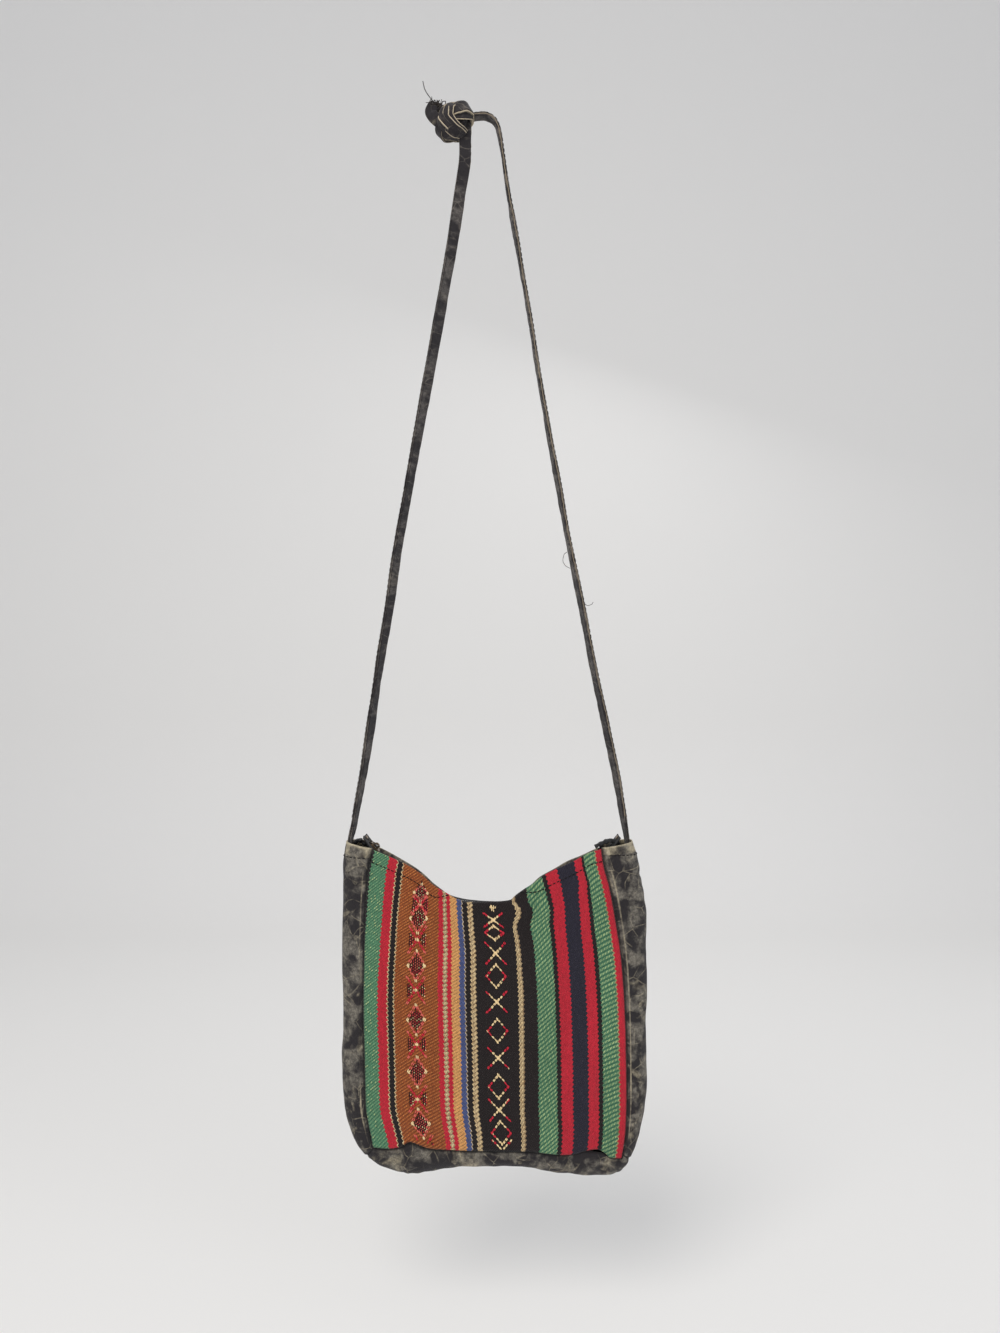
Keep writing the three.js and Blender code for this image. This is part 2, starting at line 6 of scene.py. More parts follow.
import bpy
import numpy as np
from bpy.props import FloatProperty, FloatVectorProperty, PointerProperty
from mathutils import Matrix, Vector


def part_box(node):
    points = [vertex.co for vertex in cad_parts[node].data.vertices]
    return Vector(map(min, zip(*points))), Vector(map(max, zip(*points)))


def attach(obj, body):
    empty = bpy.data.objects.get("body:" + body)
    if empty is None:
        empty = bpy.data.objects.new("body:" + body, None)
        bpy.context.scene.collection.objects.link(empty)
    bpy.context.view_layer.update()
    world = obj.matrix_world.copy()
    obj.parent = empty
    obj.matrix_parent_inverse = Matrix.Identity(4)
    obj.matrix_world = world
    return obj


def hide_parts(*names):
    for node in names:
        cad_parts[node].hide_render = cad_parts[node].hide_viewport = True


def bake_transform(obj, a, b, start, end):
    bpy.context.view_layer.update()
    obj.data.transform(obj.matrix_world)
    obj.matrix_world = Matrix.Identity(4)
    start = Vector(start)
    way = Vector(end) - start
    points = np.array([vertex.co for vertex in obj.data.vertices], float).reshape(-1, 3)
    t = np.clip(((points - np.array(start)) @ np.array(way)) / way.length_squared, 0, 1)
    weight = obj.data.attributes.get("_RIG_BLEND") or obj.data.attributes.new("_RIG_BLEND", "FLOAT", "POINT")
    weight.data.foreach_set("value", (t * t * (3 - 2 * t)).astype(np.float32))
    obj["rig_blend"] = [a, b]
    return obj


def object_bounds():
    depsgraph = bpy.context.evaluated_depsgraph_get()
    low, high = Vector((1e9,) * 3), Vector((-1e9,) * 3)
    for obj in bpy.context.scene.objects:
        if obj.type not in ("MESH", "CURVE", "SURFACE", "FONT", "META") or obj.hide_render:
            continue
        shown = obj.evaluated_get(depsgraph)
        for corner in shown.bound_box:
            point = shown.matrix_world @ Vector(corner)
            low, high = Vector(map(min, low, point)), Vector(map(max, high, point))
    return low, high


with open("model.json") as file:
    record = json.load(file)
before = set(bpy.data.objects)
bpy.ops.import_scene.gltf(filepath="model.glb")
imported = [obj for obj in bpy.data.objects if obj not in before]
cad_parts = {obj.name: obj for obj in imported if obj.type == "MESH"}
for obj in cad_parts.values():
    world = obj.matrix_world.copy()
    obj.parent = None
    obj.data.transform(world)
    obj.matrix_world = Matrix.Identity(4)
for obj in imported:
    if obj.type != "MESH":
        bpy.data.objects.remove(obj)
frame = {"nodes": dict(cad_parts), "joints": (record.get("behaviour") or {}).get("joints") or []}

bl_info = {
    "name": "Hanging woven purse",
    "version": (1, 0, 0),
    "blender": (4, 5, 0),
    "location": "3D View > Sidebar > Purse",
    "description": "Builds a flat woven shoulder bag that hangs by a knotted strap",
    "category": "Object",
}

CAD_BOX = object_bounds()
MM = 0.001
HALF_DEPTH = 12.5  # of the bag, in millimetres

# Places that every piece is drawn from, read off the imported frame.
FRONT_LOW, FRONT_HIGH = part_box("front_panel")
MIDDLE_X = (FRONT_LOW.x + FRONT_HIGH.x) / 2
RIM_Z = FRONT_HIGH.z
HINGES = {joint["name"]: joint for joint in frame["joints"]}
FOLD_Z = HINGES["bag_swing"]["pos_m"][2]
ZIP_CENTRE_Z = HINGES["zip_travel"]["pos_m"][2]
ZIP_RADIUS = ZIP_CENTRE_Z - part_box("zip_coil_front")[0].z - MM
ZIP_HALF_SPAN = (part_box("zip_tape_front")[1].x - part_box("zip_tape_front")[0].x) / 2


# ---------- numbers and curves ----------


def paint(red, green, blue):
    """A colour from 0 to 255 as the linear values that shaders take."""
    return tuple((c / 255 / 12.92) if c < 10 else ((c / 255 + 0.055) / 1.055) ** 2.4 for c in (red, green, blue))


def smooth_line(knots):
    """A smooth function through (place, value) pairs that doesn't overshoot them."""
    xs, ys = np.array(sorted(knots), float).T
    slope = np.diff(ys) / np.diff(xs)
    lean = np.zeros_like(ys)
    lean[0], lean[-1] = slope[0], slope[-1]
    same = slope[:-1] * slope[1:] > 0
    lean[1:-1][same] = (2 * slope[:-1] * slope[1:] / np.where(same, slope[:-1] + slope[1:], 1))[same]

    def at(x):
        x = np.clip(np.asarray(x, float), xs[0], xs[-1])
        k = np.clip(np.searchsorted(xs, x) - 1, 0, len(xs) - 2)
        h = xs[k + 1] - xs[k]
        u = (x - xs[k]) / h
        start = ys[k] * (1 + 2 * u) * (1 - u) ** 2 + lean[k] * h * u * (1 - u) ** 2
        return start + ys[k + 1] * u * u * (3 - 2 * u) - lean[k + 1] * h * u * u * (1 - u)

    return at


def step_up(low, high, x):
    """0 below low, 1 above high, and smooth in between."""
    u = np.clip((np.asarray(x, float) - low) / (high - low), 0, 1)
    return u * u * (3 - 2 * u)


def hills(x, y, pitch, seed):
    """Smooth hills of about +-1 over a plane, `pitch` apart."""
    grid = np.random.RandomState(seed).uniform(-1, 1, (97, 97))
    gx, gy = np.asarray(x, float) / pitch + 41.3, np.asarray(y, float) / pitch + 57.7
    i, j = np.floor(gx).astype(int), np.floor(gy).astype(int)
    u, v = gx - i, gy - j
    u, v = u * u * (3 - 2 * u), v * v * (3 - 2 * v)
    low = grid[i % 97, j % 97] * (1 - u) + grid[(i + 1) % 97, j % 97] * u
    high = grid[i % 97, (j + 1) % 97] * (1 - u) + grid[(i + 1) % 97, (j + 1) % 97] * u
    return low * (1 - v) + high * v


def curve_through(points, spacing):
    """Evenly spaced points on a smooth line through `points`, all in metres."""
    points = np.array(points, float)
    at = np.concatenate([[0], np.cumsum(np.linalg.norm(np.diff(points, axis=0), axis=1))])
    lines = [smooth_line(list(zip(at, points[:, k]))) for k in range(points.shape[1])]
    fine = np.stack([line(np.linspace(0, at[-1], 1500)) for line in lines], 1)
    run = np.concatenate([[0], np.cumsum(np.linalg.norm(np.diff(fine, axis=0), axis=1))])
    want = np.linspace(0, run[-1], max(2, int(round(run[-1] / spacing)) + 1))
    return np.stack([np.interp(want, run, fine[:, k]) for k in range(points.shape[1])], 1)


def unit(v):
    return v / np.maximum(np.linalg.norm(v, axis=-1, keepdims=True), 1e-12)


def along(points):
    """The direction of a line at each of its points."""
    return unit(np.gradient(points, axis=0))


# ---------- meshes ----------


class Pile:
    """Gathers the points and faces of one piece, then makes its mesh."""

    def __init__(self):
        self.points, self.faces, self.values, self.count = [], [], {}, 0

    def add(self, points, faces, **values):
        """Adds one closed part, with its faces turned outward by its own volume."""
        points = np.asarray(points, float).reshape(-1, 3)
        fans = np.array([(f[0], f[k], f[k + 1]) for f in faces for k in range(1, len(f) - 1)])
        first, second, third = (points - points.mean(0))[fans].transpose(1, 0, 2)
        if (first * np.cross(second, third)).sum() < 0:
            faces = [f[::-1] for f in faces]
        self.points.append(points)
        self.faces += [tuple(int(i) + self.count for i in f) for f in faces]
        for name in set(self.values) | set(values):
            held = self.values.setdefault(name, [np.zeros(self.count)] if self.count else [])
            given = values.get(name)
            held.append(np.zeros(len(points)) if given is None else np.broadcast_to(given, len(points)).astype(float))
        self.count += len(points)

    def make(self, name, material):
        """The piece's object."""
        points = np.concatenate(self.points)
        mesh = bpy.data.meshes.new(name)
        mesh.from_pydata(points.tolist(), [], self.faces)
        mesh.update()
        values = {k: np.concatenate(v) for k, v in self.values.items()}
        if "cloth_u" in values:
            layer = mesh.uv_layers.new(name="cloth")
            corner = np.zeros(len(mesh.loops), int)
            mesh.loops.foreach_get("vertex_index", corner)
            uv = np.stack([values.pop("cloth_u")[corner], values.pop("cloth_v")[corner]], 1)
            layer.data.foreach_set("uv", uv.astype(np.float32).ravel())
        for key, value in values.items():
            attribute = mesh.attributes.new(key, "FLOAT", "POINT")
            attribute.data.foreach_set("value", value.astype(np.float32))
        mesh.polygons.foreach_set("use_smooth", [True] * len(mesh.polygons))
        mesh.materials.append(material)
        piece = bpy.data.objects.new(name, mesh)
        bpy.context.scene.collection.objects.link(piece)
        return piece


def grid_faces(rows, columns, start=0, wrap=False):
    """Four-cornered faces over a grid of points, closed round its columns if wrap."""
    r, c = np.meshgrid(np.arange(rows - 1), np.arange(columns if wrap else columns - 1), indexing="ij")
    d = (c + 1) % columns
    faces = np.stack([r * columns + c, r * columns + d, (r + 1) * columns + d, (r + 1) * columns + c], -1)
    return (faces.reshape(-1, 4) + start).tolist()


def sheet_shell(pile, outer, thickness, inward, **values):
    """A closed sheet of cloth: `outer` is its shown face as (rows, columns, 3), `inward` which side it thickens to."""
    rows, columns = outer.shape[:2]
    normal = unit(np.cross(np.gradient(outer, axis=0), np.gradient(outer, axis=1))) * inward
    inner = outer + normal * thickness
    n = rows * columns
    faces = grid_faces(rows, columns)
    faces += [[a + n for a in reversed(f)] for f in faces]
    index = np.arange(n).reshape(rows, columns)
    rim = np.concatenate([index[0], index[1:, -1], index[-1, -2::-1], index[-2:0:-1, 0]])
    after = np.roll(rim, -1)
    faces += np.stack([after, rim, rim + n, after + n], 1).tolist()
    twice = {k: np.concatenate([np.ravel(v), np.ravel(v)]) for k, v in values.items()}
    pile.add(np.concatenate([outer.reshape(-1, 3), inner.reshape(-1, 3)]), faces, **twice)


def closed_rings(rings):
    """Points and faces of rings (along, round, 3), with a middle point that closes each end."""
    n, m = rings.shape[:2]
    faces = grid_faces(n, m, wrap=True)
    faces += [[(i + 1) % m, i, n * m] for i in range(m)]
    faces += [[(n - 1) * m + i, (n - 1) * m + (i + 1) % m, n * m + 1] for i in range(m)]
    return np.concatenate([rings.reshape(-1, 3), rings[:1].mean(1), rings[-1:].mean(1)]), faces


def sweep(pile, centre, across, up, section, size=1.0, **values):
    """A closed bar: `section` is its outline as (across, up) pairs, scaled by `size` at each point."""
    size = np.broadcast_to(size, len(centre))[:, None, None]
    offsets = section[None, :, :1] * across[:, None, :] + section[None, :, 1:] * up[:, None, :]
    rings = centre[:, None, :] + offsets * size
    ends = {}
    for key, value in values.items():
        value = np.broadcast_to(value, rings.shape[:2]).ravel()
        ends[key] = np.concatenate([value, value[:1], value[-1:]])
    pile.add(*closed_rings(rings), **ends)


# ---------- node trees ----------


class Signal:
    """A number on its way through a node tree, with plain arithmetic."""

    def __init__(self, tree, socket):
        self.tree, self.socket = tree, socket

    def math(self, operation, *others):
        node = self.tree.nodes.new("ShaderNodeMath")
        node.operation = operation
        for place, value in zip(node.inputs, (self, *others)):
            connect(self.tree, value, place)
        return Signal(self.tree, node.outputs[0])

    def __add__(self, other):
        return self.math("ADD", other)

    def __sub__(self, other):
        return self.math("SUBTRACT", other)

    def __mul__(self, other):
        return self.math("MULTIPLY", other)

    def __truediv__(self, other):
        return self.math("DIVIDE", other)

    def fract(self):
        return self.math("FRACT")

    def floor(self):
        return self.math("FLOOR")

    def smooth(self, low, high):
        """0 below low, 1 above high."""
        node = self.tree.nodes.new("ShaderNodeMapRange")
        node.interpolation_type = "SMOOTHSTEP"
        for name, value in (("Value", self), ("From Min", low), ("From Max", high)):
            connect(self.tree, value, node.inputs[name])
        return Signal(self.tree, node.outputs[0])

    def hump(self):
        """A round hump over each unit of length."""
        return (self * math.pi).math("SINE").math("ABSOLUTE")


def connect(tree, value, socket):
    if isinstance(value, bpy.types.Node):
        value = value.outputs[0]
    if isinstance(value, Signal):
        value = value.socket
    if isinstance(value, bpy.types.NodeSocket):
        tree.links.new(value, socket)
    elif value is not None:
        if hasattr(socket.default_value, "__len__") and not hasattr(value, "__len__"):
            value = (value,) * len(socket.default_value)
        elif hasattr(value, "__len__") and len(value) == 3 and len(socket.default_value) == 4:
            value = (*value, 1)
        socket.default_value = value


def step(tree, kind, inputs, **settings):
    """A new node with its settings, and its inputs linked or set."""
    node = tree.nodes.new(kind)
    for name, value in settings.items():
        setattr(node, name, value)
    for name, value in inputs.items():
        connect(tree, value, node.inputs[name])
    return node


def blended(tree, share, low, high, kind="MIX"):
    """Colour `low` turned into `high` by a share."""
    node = step(tree, "ShaderNodeMix", {}, data_type="RGBA", blend_type=kind)
    for place, value in ((0, share), (6, low), (7, high)):
        connect(tree, value, node.inputs[place])
    return node.outputs[2]


def shaded(tree, colour, tone):
    """A colour made darker or lighter by a number."""
    return blended(tree, 1.0, colour, joined(tree, tone, tone, tone), "MULTIPLY")


def object_place(tree):
    return tree.nodes.new("ShaderNodeTexCoord").outputs["Object"]


def split_up(tree, vector):
    """The three numbers of a vector."""
    return [Signal(tree, socket) for socket in step(tree, "ShaderNodeSeparateXYZ", {0: vector}).outputs]


def cloudy(tree, vector, scale, detail=3.0, roughness=0.55, distortion=0.0):
    node = step(tree, "ShaderNodeTexNoise", {"Vector": vector, "Scale": scale, "Detail": detail,
                                            "Roughness": roughness, "Distortion": distortion})
    return Signal(tree, node.outputs["Fac"])


def stretched(tree, vector, x, y, z):
    return step(tree, "ShaderNodeVectorMath", {0: vector, 1: (x, y, z)}, operation="MULTIPLY").outputs[0]


def joined(tree, x, y, z=0.0):
    return step(tree, "ShaderNodeCombineXYZ", {0: x, 1: y, 2: z}).outputs[0]


def random_of(tree, x, y):
    """A random number for each pair of whole numbers."""
    node = step(tree, "ShaderNodeTexWhiteNoise", {}, noise_dimensions="2D")
    connect(tree, joined(tree, x, y), node.inputs["Vector"])
    return Signal(tree, node.outputs["Value"])


def colour_steps(tree, share, stops, kind="CONSTANT"):
    node = tree.nodes.new("ShaderNodeValToRGB")
    node.color_ramp.interpolation = kind
    bar = node.color_ramp.elements
    while len(bar) > 1:
        bar.remove(bar[-1])
    for i, (place, colour) in enumerate(stops):
        stop = bar[0] if i == 0 else bar.new(place)
        stop.position, stop.color = place, (*colour, 1)
    connect(tree, share, node.inputs[0])
    return node.outputs["Color"]


def attribute_of(tree, name):
    return Signal(tree, step(tree, "ShaderNodeAttribute", {}, attribute_name=name).outputs["Fac"])


def shader_group(name, inputs, outputs):
    """An empty shader group with its sockets: (name, socket kind, default)."""
    tree = bpy.data.node_groups.new(name, "ShaderNodeTree")
    for label, kind, default in inputs:
        socket = tree.interface.new_socket(label, in_out="INPUT", socket_type=kind)
        if default is not None:
            socket.default_value = default
    for label, kind in outputs:
        tree.interface.new_socket(label, in_out="OUTPUT", socket_type=kind)
    entry, leave = tree.nodes.new("NodeGroupInput"), tree.nodes.new("NodeGroupOutput")
    return tree, entry.outputs, leave.inputs


def placed(tree, group, **values):
    """A group placed in a material. Underscores in the names stand for spaces."""
    node = tree.nodes.new("ShaderNodeGroup")
    node.node_tree = group
    for name, value in values.items():
        connect(tree, value, node.inputs[name.replace("_", " ")])
    return node.outputs


def new_material(name):
    """(material, its tree, its Principled shader)"""
    material = bpy.data.materials.new(name)
    material.use_nodes = True
    return material, material.node_tree, material.node_tree.nodes["Principled BSDF"]


def raised(tree, shader, height, strength, distance):
    node = step(tree, "ShaderNodeBump", {"Strength": strength, "Distance": distance, "Height": height})
    connect(tree, node, shader.inputs["Normal"])


NUMBER, COLOUR, VECTOR = "NodeSocketFloat", "NodeSocketColor", "NodeSocketVector"


def yarn_group():
    """Yarns crossing in a twill: which yarn a point is on, how high it stands, and how it varies."""
    tree, given, result = shader_group(
        "Crossing yarns",
        [("Across", NUMBER, 0), ("Down", NUMBER, 0), ("Yarn width", NUMBER, 0.8), ("Float length", NUMBER, 1.5),
         ("Shift", NUMBER, 0.5)],
        [("Height", NUMBER), ("Variation", NUMBER), ("Gap", NUMBER)],
    )
    across = Signal(tree, given["Across"]) / given["Yarn width"]
    yarn = across.floor()
    down = Signal(tree, given["Down"]) / given["Float length"] + yarn * given["Shift"]
    crown = across.hump().math("POWER", 0.6) * down.hump().math("POWER", 0.5)
    tree.links.new(crown.socket, result["Height"])
    tree.links.new(random_of(tree, yarn, down.floor()).socket, result["Variation"])
    # Gap marks the low places between yarns, where the woven front paints shade
    tree.links.new(crown.smooth(0.45, 0.12).socket, result["Gap"])
    return tree


def acid_wash_group():
    """Bleached patches, thin crease lines and grain of acid-washed cotton."""
    tree, given, result = shader_group(
        "Acid wash",
        [("Place", VECTOR, None), ("Dark", COLOUR, None), ("Middle", COLOUR, None), ("Pale", COLOUR, None),
         ("Patch size", NUMBER, 0.014), ("Bleaching", NUMBER, 0.5), ("Wear", NUMBER, 0), ("Seed", NUMBER, 0)],
        [("Color", COLOUR), ("Height", NUMBER), ("Roughness", NUMBER)],
    )
    size = Signal(tree, given["Patch size"])
    seed = joined(tree, given["Seed"], given["Seed"], given["Seed"])
    place = step(tree, "ShaderNodeVectorMath", {0: given["Place"], 1: seed}).outputs[0]
    frequency = size.math("POWER", -1.0)
    patches = cloudy(tree, place, frequency, 2.0, 0.5, 0.5)
    small = cloudy(tree, place, frequency * 2.7, 4.0, 0.62, 0.5)
    tone = patches * 0.74 + small * 0.26 + Signal(tree, given["Bleaching"]) * 0.3 - 0.15
    bleached = tone.smooth(0.42, 0.58)
    strongly = (cloudy(tree, place, frequency * 0.75, 3.0, 0.6, 0.8) + Signal(tree,
            given["Bleaching"]) * 0.12).smooth(0.62, 0.76)
    # creases: thin pale lines where the cloth was scrunched in the wash
    wander = step(tree, "ShaderNodeTexNoise", {"Vector": place, "Scale": frequency * 1.1, "Detail": 1.0})
    bent = step(tree, "ShaderNodeVectorMath", {}, operation="MULTIPLY_ADD")
    for k, value in enumerate((wander.outputs["Color"], (0.006, 0.006, 0.006), place)):
        connect(tree, value, bent.inputs[k])
    cells = step(tree, "ShaderNodeTexVoronoi", {"Vector": bent, "Scale": frequency * 1.25}, feature="DISTANCE_TO_EDGE")
    crease = Signal(tree, cells.outputs["Distance"]).smooth(0.045, 0.0)
    crease = crease * cloudy(tree, place, frequency * 1.1, 2.0).smooth(0.44, 0.6)
    grain = cloudy(tree, stretched(tree, place, 1, 1, 0.5), 1100.0, 2.0, 0.7)
    flecks = cloudy(tree, place, 360.0, 4.0, 0.8).smooth(0.34, 0.7)
    share = (bleached * (flecks * 0.8 + 0.3)).math("MINIMUM", 1.0)
    colour = blended(tree, share, given["Dark"], given["Middle"])
    colour = blended(tree, strongly * (flecks * 0.55 + 0.2), colour, given["Pale"])
    colour = blended(tree, crease * (flecks * 0.4 + 0.15), colour, given["Pale"])
    worn = (Signal(tree, given["Wear"]) * (cloudy(tree, place, 420.0, 3.0) * 1.1 + 0.45)).smooth(0.2, 0.85)
    colour = blended(tree, worn * 0.88, colour, given["Pale"])
    shade = grain * 0.8 + small * 0.3 + 0.45
    colour = shaded(tree, colour, shade)
    tree.links.new(colour, result["Color"])
    tree.links.new((crease * 0.5 + grain * 0.35 + small * 0.4).socket, result["Height"])
    tree.links.new((grain * 0.12 + 0.82).socket, result["Roughness"])
    return tree


GROUPS = {}


def group(name):
    if name not in GROUPS:
        GROUPS[name] = {"yarns": yarn_group, "acid wash": acid_wash_group}[name]()
    return GROUPS[name]


# ---------- woven stripes ----------

GREEN, RED, CREAM = paint(80, 130, 98), paint(190, 38, 54), paint(236, 206, 152)
BLACK, BROWN, TAN = paint(34, 28, 28), paint(146, 76, 38), paint(214, 158, 98)
NAVY, BLUE, WHITE = paint(40, 38, 50), paint(74, 84, 126), paint(216, 200, 176)
OLIVE = paint(150, 140, 80)

# Each stripe from the left seam: its width in millimetres, its colour, and its kind of weave.
STRIPES = [
    (1.3, BLACK, "plain"), (12.3, GREEN, "twill"), (6.8, RED, "plain"), (1.35, CREAM, "dashes"),
    (3.3, BLACK, "plain"), (1.35, CREAM, "dashes"), (32.6, BROWN, "fine"), (3.5, RED, "plain"),
    (3.1, CREAM, "twist"), (3.6, RED, "plain"), (6.3, TAN, "fine"), (3.4, BLUE, "plain"),
    (1.5, WHITE, "dashes"), (3.2, BLACK, "plain"), (4.4, CREAM, "twist"), (31.5, BLACK, "plain"),
    (4.1, CREAM, "twist"), (10.0, BLACK, "plain"), (13.4, GREEN, "rows"), (3.1, BLACK, "plain"),
    (8.9, RED, "plain"), (12.0, NAVY, "plain"), (7.6, RED, "plain"), (3.0, BLACK, "plain"),
    (11.4, GREEN, "rows"), (1.0, OLIVE, "dashes"), (5.9, RED, "plain"),
]
KINDS = {"plain": (0, 0, 0), "twill": (1, 0, 0), "rows": (0.5, 0, 0), "fine": (0, 1, 0), "dashes": (0, 0, 1),
        "twist": (0, 0, 0.5)}
HEM_EXTRA = 3.0  # cloth that shows past the left seam's usual line, near the mouth
CLOTH_WIDTH = sum(width for width, _, _ in STRIPES) - HEM_EXTRA


def cord_profile():
    """Stops of a ramp that is bright along the yarns of each cream line and dark between and beside them: painted shade
    round the cords, also used for their relief.
    """
    total = sum(width for width, _, _ in STRIPES)
    stops, run = [(0.0, (0, 0, 0))], 0.0
    for width, _, kind in STRIPES:
        if kind == "twist":
            stops += [((run + width * k) / total, (v, v, v)) for k,
                    v in ((0.02, 0.15), (0.25, 1), (0.5, 0.08), (0.75, 1), (0.98, 0.15))]
        elif kind == "dashes":
            stops += [((run + width * k) / total, (v, v, v)) for k, v in ((0.02, 0.5), (0.5, 1), (0.98, 0.5))]
        run += width
    return stops[:32]


def woven_stripes_material(settings):
    material, tree, shader = new_material("woven_stripes")
    uv = tree.nodes.new("ShaderNodeUVMap")
    uv.uv_map = "cloth"
    across, down, _ = split_up(tree, uv.outputs[0])
    s, t = across * 100.0 + HEM_EXTRA, down * 100.0
    repeat = settings.weave_repeat / MM
    place = joined(tree, s, t)
    total = sum(width for width, _, _ in STRIPES)
    # the stripes' edges zigzag once with each repeat of the weave
    wave = ((t / repeat).fract() - 0.5).math("ABSOLUTE") * 2.0
    uneven = cloudy(tree, joined(tree, s * 0.04, t * 0.4), 1.0, 2.0) * 1.0
    at = (s + wave * 1.15 + uneven - 1.05) / total
    colours, kinds, run = [], [], 0.0
    for width, colour, kind in STRIPES:
        colours.append((run / total, colour))
        kinds.append((run / total, KINDS[kind]))
        run += width
    colour = colour_steps(tree, at, colours)
    masks = tree.nodes.new("ShaderNodeSeparateColor")
    tree.links.new(colour_steps(tree, at, kinds), masks.inputs[0])
    green, fine, cord = (Signal(tree, masks.outputs[i]) for i in range(3))
    rows = green.smooth(0.3, 0.45) - green.smooth(0.7, 0.9)
    twill = green.smooth(0.7, 0.9)
    cords = cord.smooth(0.2, 0.4)
    yarn = placed(tree, group("yarns"), Across=s, Down=t, Yarn_width=settings.yarn_width / MM,
                  Float_length=repeat / 2, Shift=0.5)
    height, vary, gap_shade = (Signal(tree, yarn[k]) for k in ("Height", "Variation", "Gap"))
    # one diagonal of the twill for each repeat, rising to the right, broken into floats
    slope = ((t + s * 1.15) / (repeat * 0.72)).fract()
    slant = slope.smooth(0.06, 0.26) - slope.smooth(0.46, 0.7)
    broken = ((s - t * 0.25) / 1.7).fract()
    float_top = slant * (broken.smooth(0.0, 0.22) - broken.smooth(0.72, 0.98))
    # the hollow between one diagonal and the next, which gets painted shade
    twill_hollow_shade = slope.smooth(0.66, 0.8) - slope.smooth(0.86, 1.0)
    chance = random_of(tree, ((s - t * 0.25) / 1.7).floor(), ((t + s * 1.15) / (repeat * 0.72)).floor())
    cloud = cloudy(tree, joined(tree, s * 0.05, t * 0.07), 1.0, 3.0).smooth(0.36, 0.64)
    pale_green, deep_green, yellow = paint(150, 180, 132), paint(30, 62, 50), paint(186, 200, 140)
    colour = blended(tree, twill * float_top * (chance * 0.6 + 0.1), colour, pale_green)
    colour = blended(tree, twill * slope.smooth(0.6, 0.78) * (chance * 0.5 + 0.1), colour, deep_green)
    colour = blended(tree, twill * chance.smooth(0.82, 0.9) * float_top * 0.7, colour, yellow)
    # the other green bands have rows of short yellow-green floats
    row = ((t + s * 0.22) / repeat).fract()
    dashes = ((s + t * 0.5) / 2.1).fract()
    dash = (row.smooth(0.0, 0.2) - row.smooth(0.42, 0.66)) * (dashes.smooth(0.05, 0.25) - dashes.smooth(0.62, 0.9))
    colour = blended(tree, rows * row.smooth(0.5, 0.75) * (vary * 0.5 + 0.2), colour, deep_green)
    colour = blended(tree, rows * dash * (vary * 0.45 + 0.35), colour, yellow)
    # brown and tan cloth: fine diagonal of orange and dark yarn
    orange = blended(tree, 0.62, colour, paint(244, 158, 84))
    colour = blended(tree, fine * float_top * (chance * 0.5 + cloud * 0.2), colour, orange)
    colour = blended(tree, fine * slope.smooth(0.58, 0.78) * (chance * 0.4 + 0.16), colour, paint(66, 34, 22))
    slubs = cloudy(tree, stretched(tree, place, 0.5, 1.0, 1), 0.7, 3.0, 0.7).smooth(0.56, 0.72)
    colour = blended(tree, fine * slubs * float_top * 0.7, colour, paint(240, 160, 92))
    # cream lines are cords of two yarns, with painted shade in the hollow between turns and beside the yarns
    turn = ((t + s * 0.8) / repeat + 0.2).fract()
    between = turn.smooth(0.6, 0.8) - turn.smooth(0.86, 1.0)
    profile = Signal(tree, colour_steps(tree, at, cord_profile(), "LINEAR"))
    colour = blended(tree, cords * between * 0.85, colour, paint(96, 58, 38))
    colour = blended(tree, cords * (profile * -1.0 + 1.0) * 0.85, colour, paint(92, 50, 34))
    colour = blended(tree, cords * chance * 0.35, colour, paint(240, 222, 178))
    # every yarn is a little different; the hollows between the twill's diagonals and the gaps between yarns get painted
    # shade, and the floats' tops a little painted highlight
    soft = cloudy(tree, joined(tree, s * 0.05, t * 0.012), 1.0, 3.0)
    tone = vary * 0.3 + soft * 0.36 + float_top * 0.1 - twill_hollow_shade * 0.1 + 0.72
    lint = cloudy(tree, place, 0.7, 3.0, 0.8).smooth(0.58, 0.76)
    colour = shaded(tree, colour, tone)
    colour = blended(tree, lint * 0.2, colour, paint(160, 148, 136))
    # painted shade in the gaps between yarns
    colour = blended(tree, gap_shade * 0.3, colour, blended(tree, 0.82, colour, (0.004, 0.003, 0.003)))
    # painted shade in the groove along each seam
    colour = blended(tree, attribute_of(tree, "seam").smooth(0.1, 1.0) * 0.9, colour, (0.004, 0.0035, 0.004))
    connect(tree, colour, shader.inputs["Base Color"])
    connect(tree, vary * 0.1 + 0.84, shader.inputs["Roughness"])
    shader.inputs["Sheen Weight"].default_value = 0.12
    shader.inputs["Sheen Roughness"].default_value = 0.5
    shader.inputs["Specular IOR Level"].default_value = 0.18
    relief = height * 0.35 + float_top * 0.9 + cords * (profile * 1.3 - between * 0.8)
    raised(tree, shader, relief, 0.8, 0.0006)
    return material


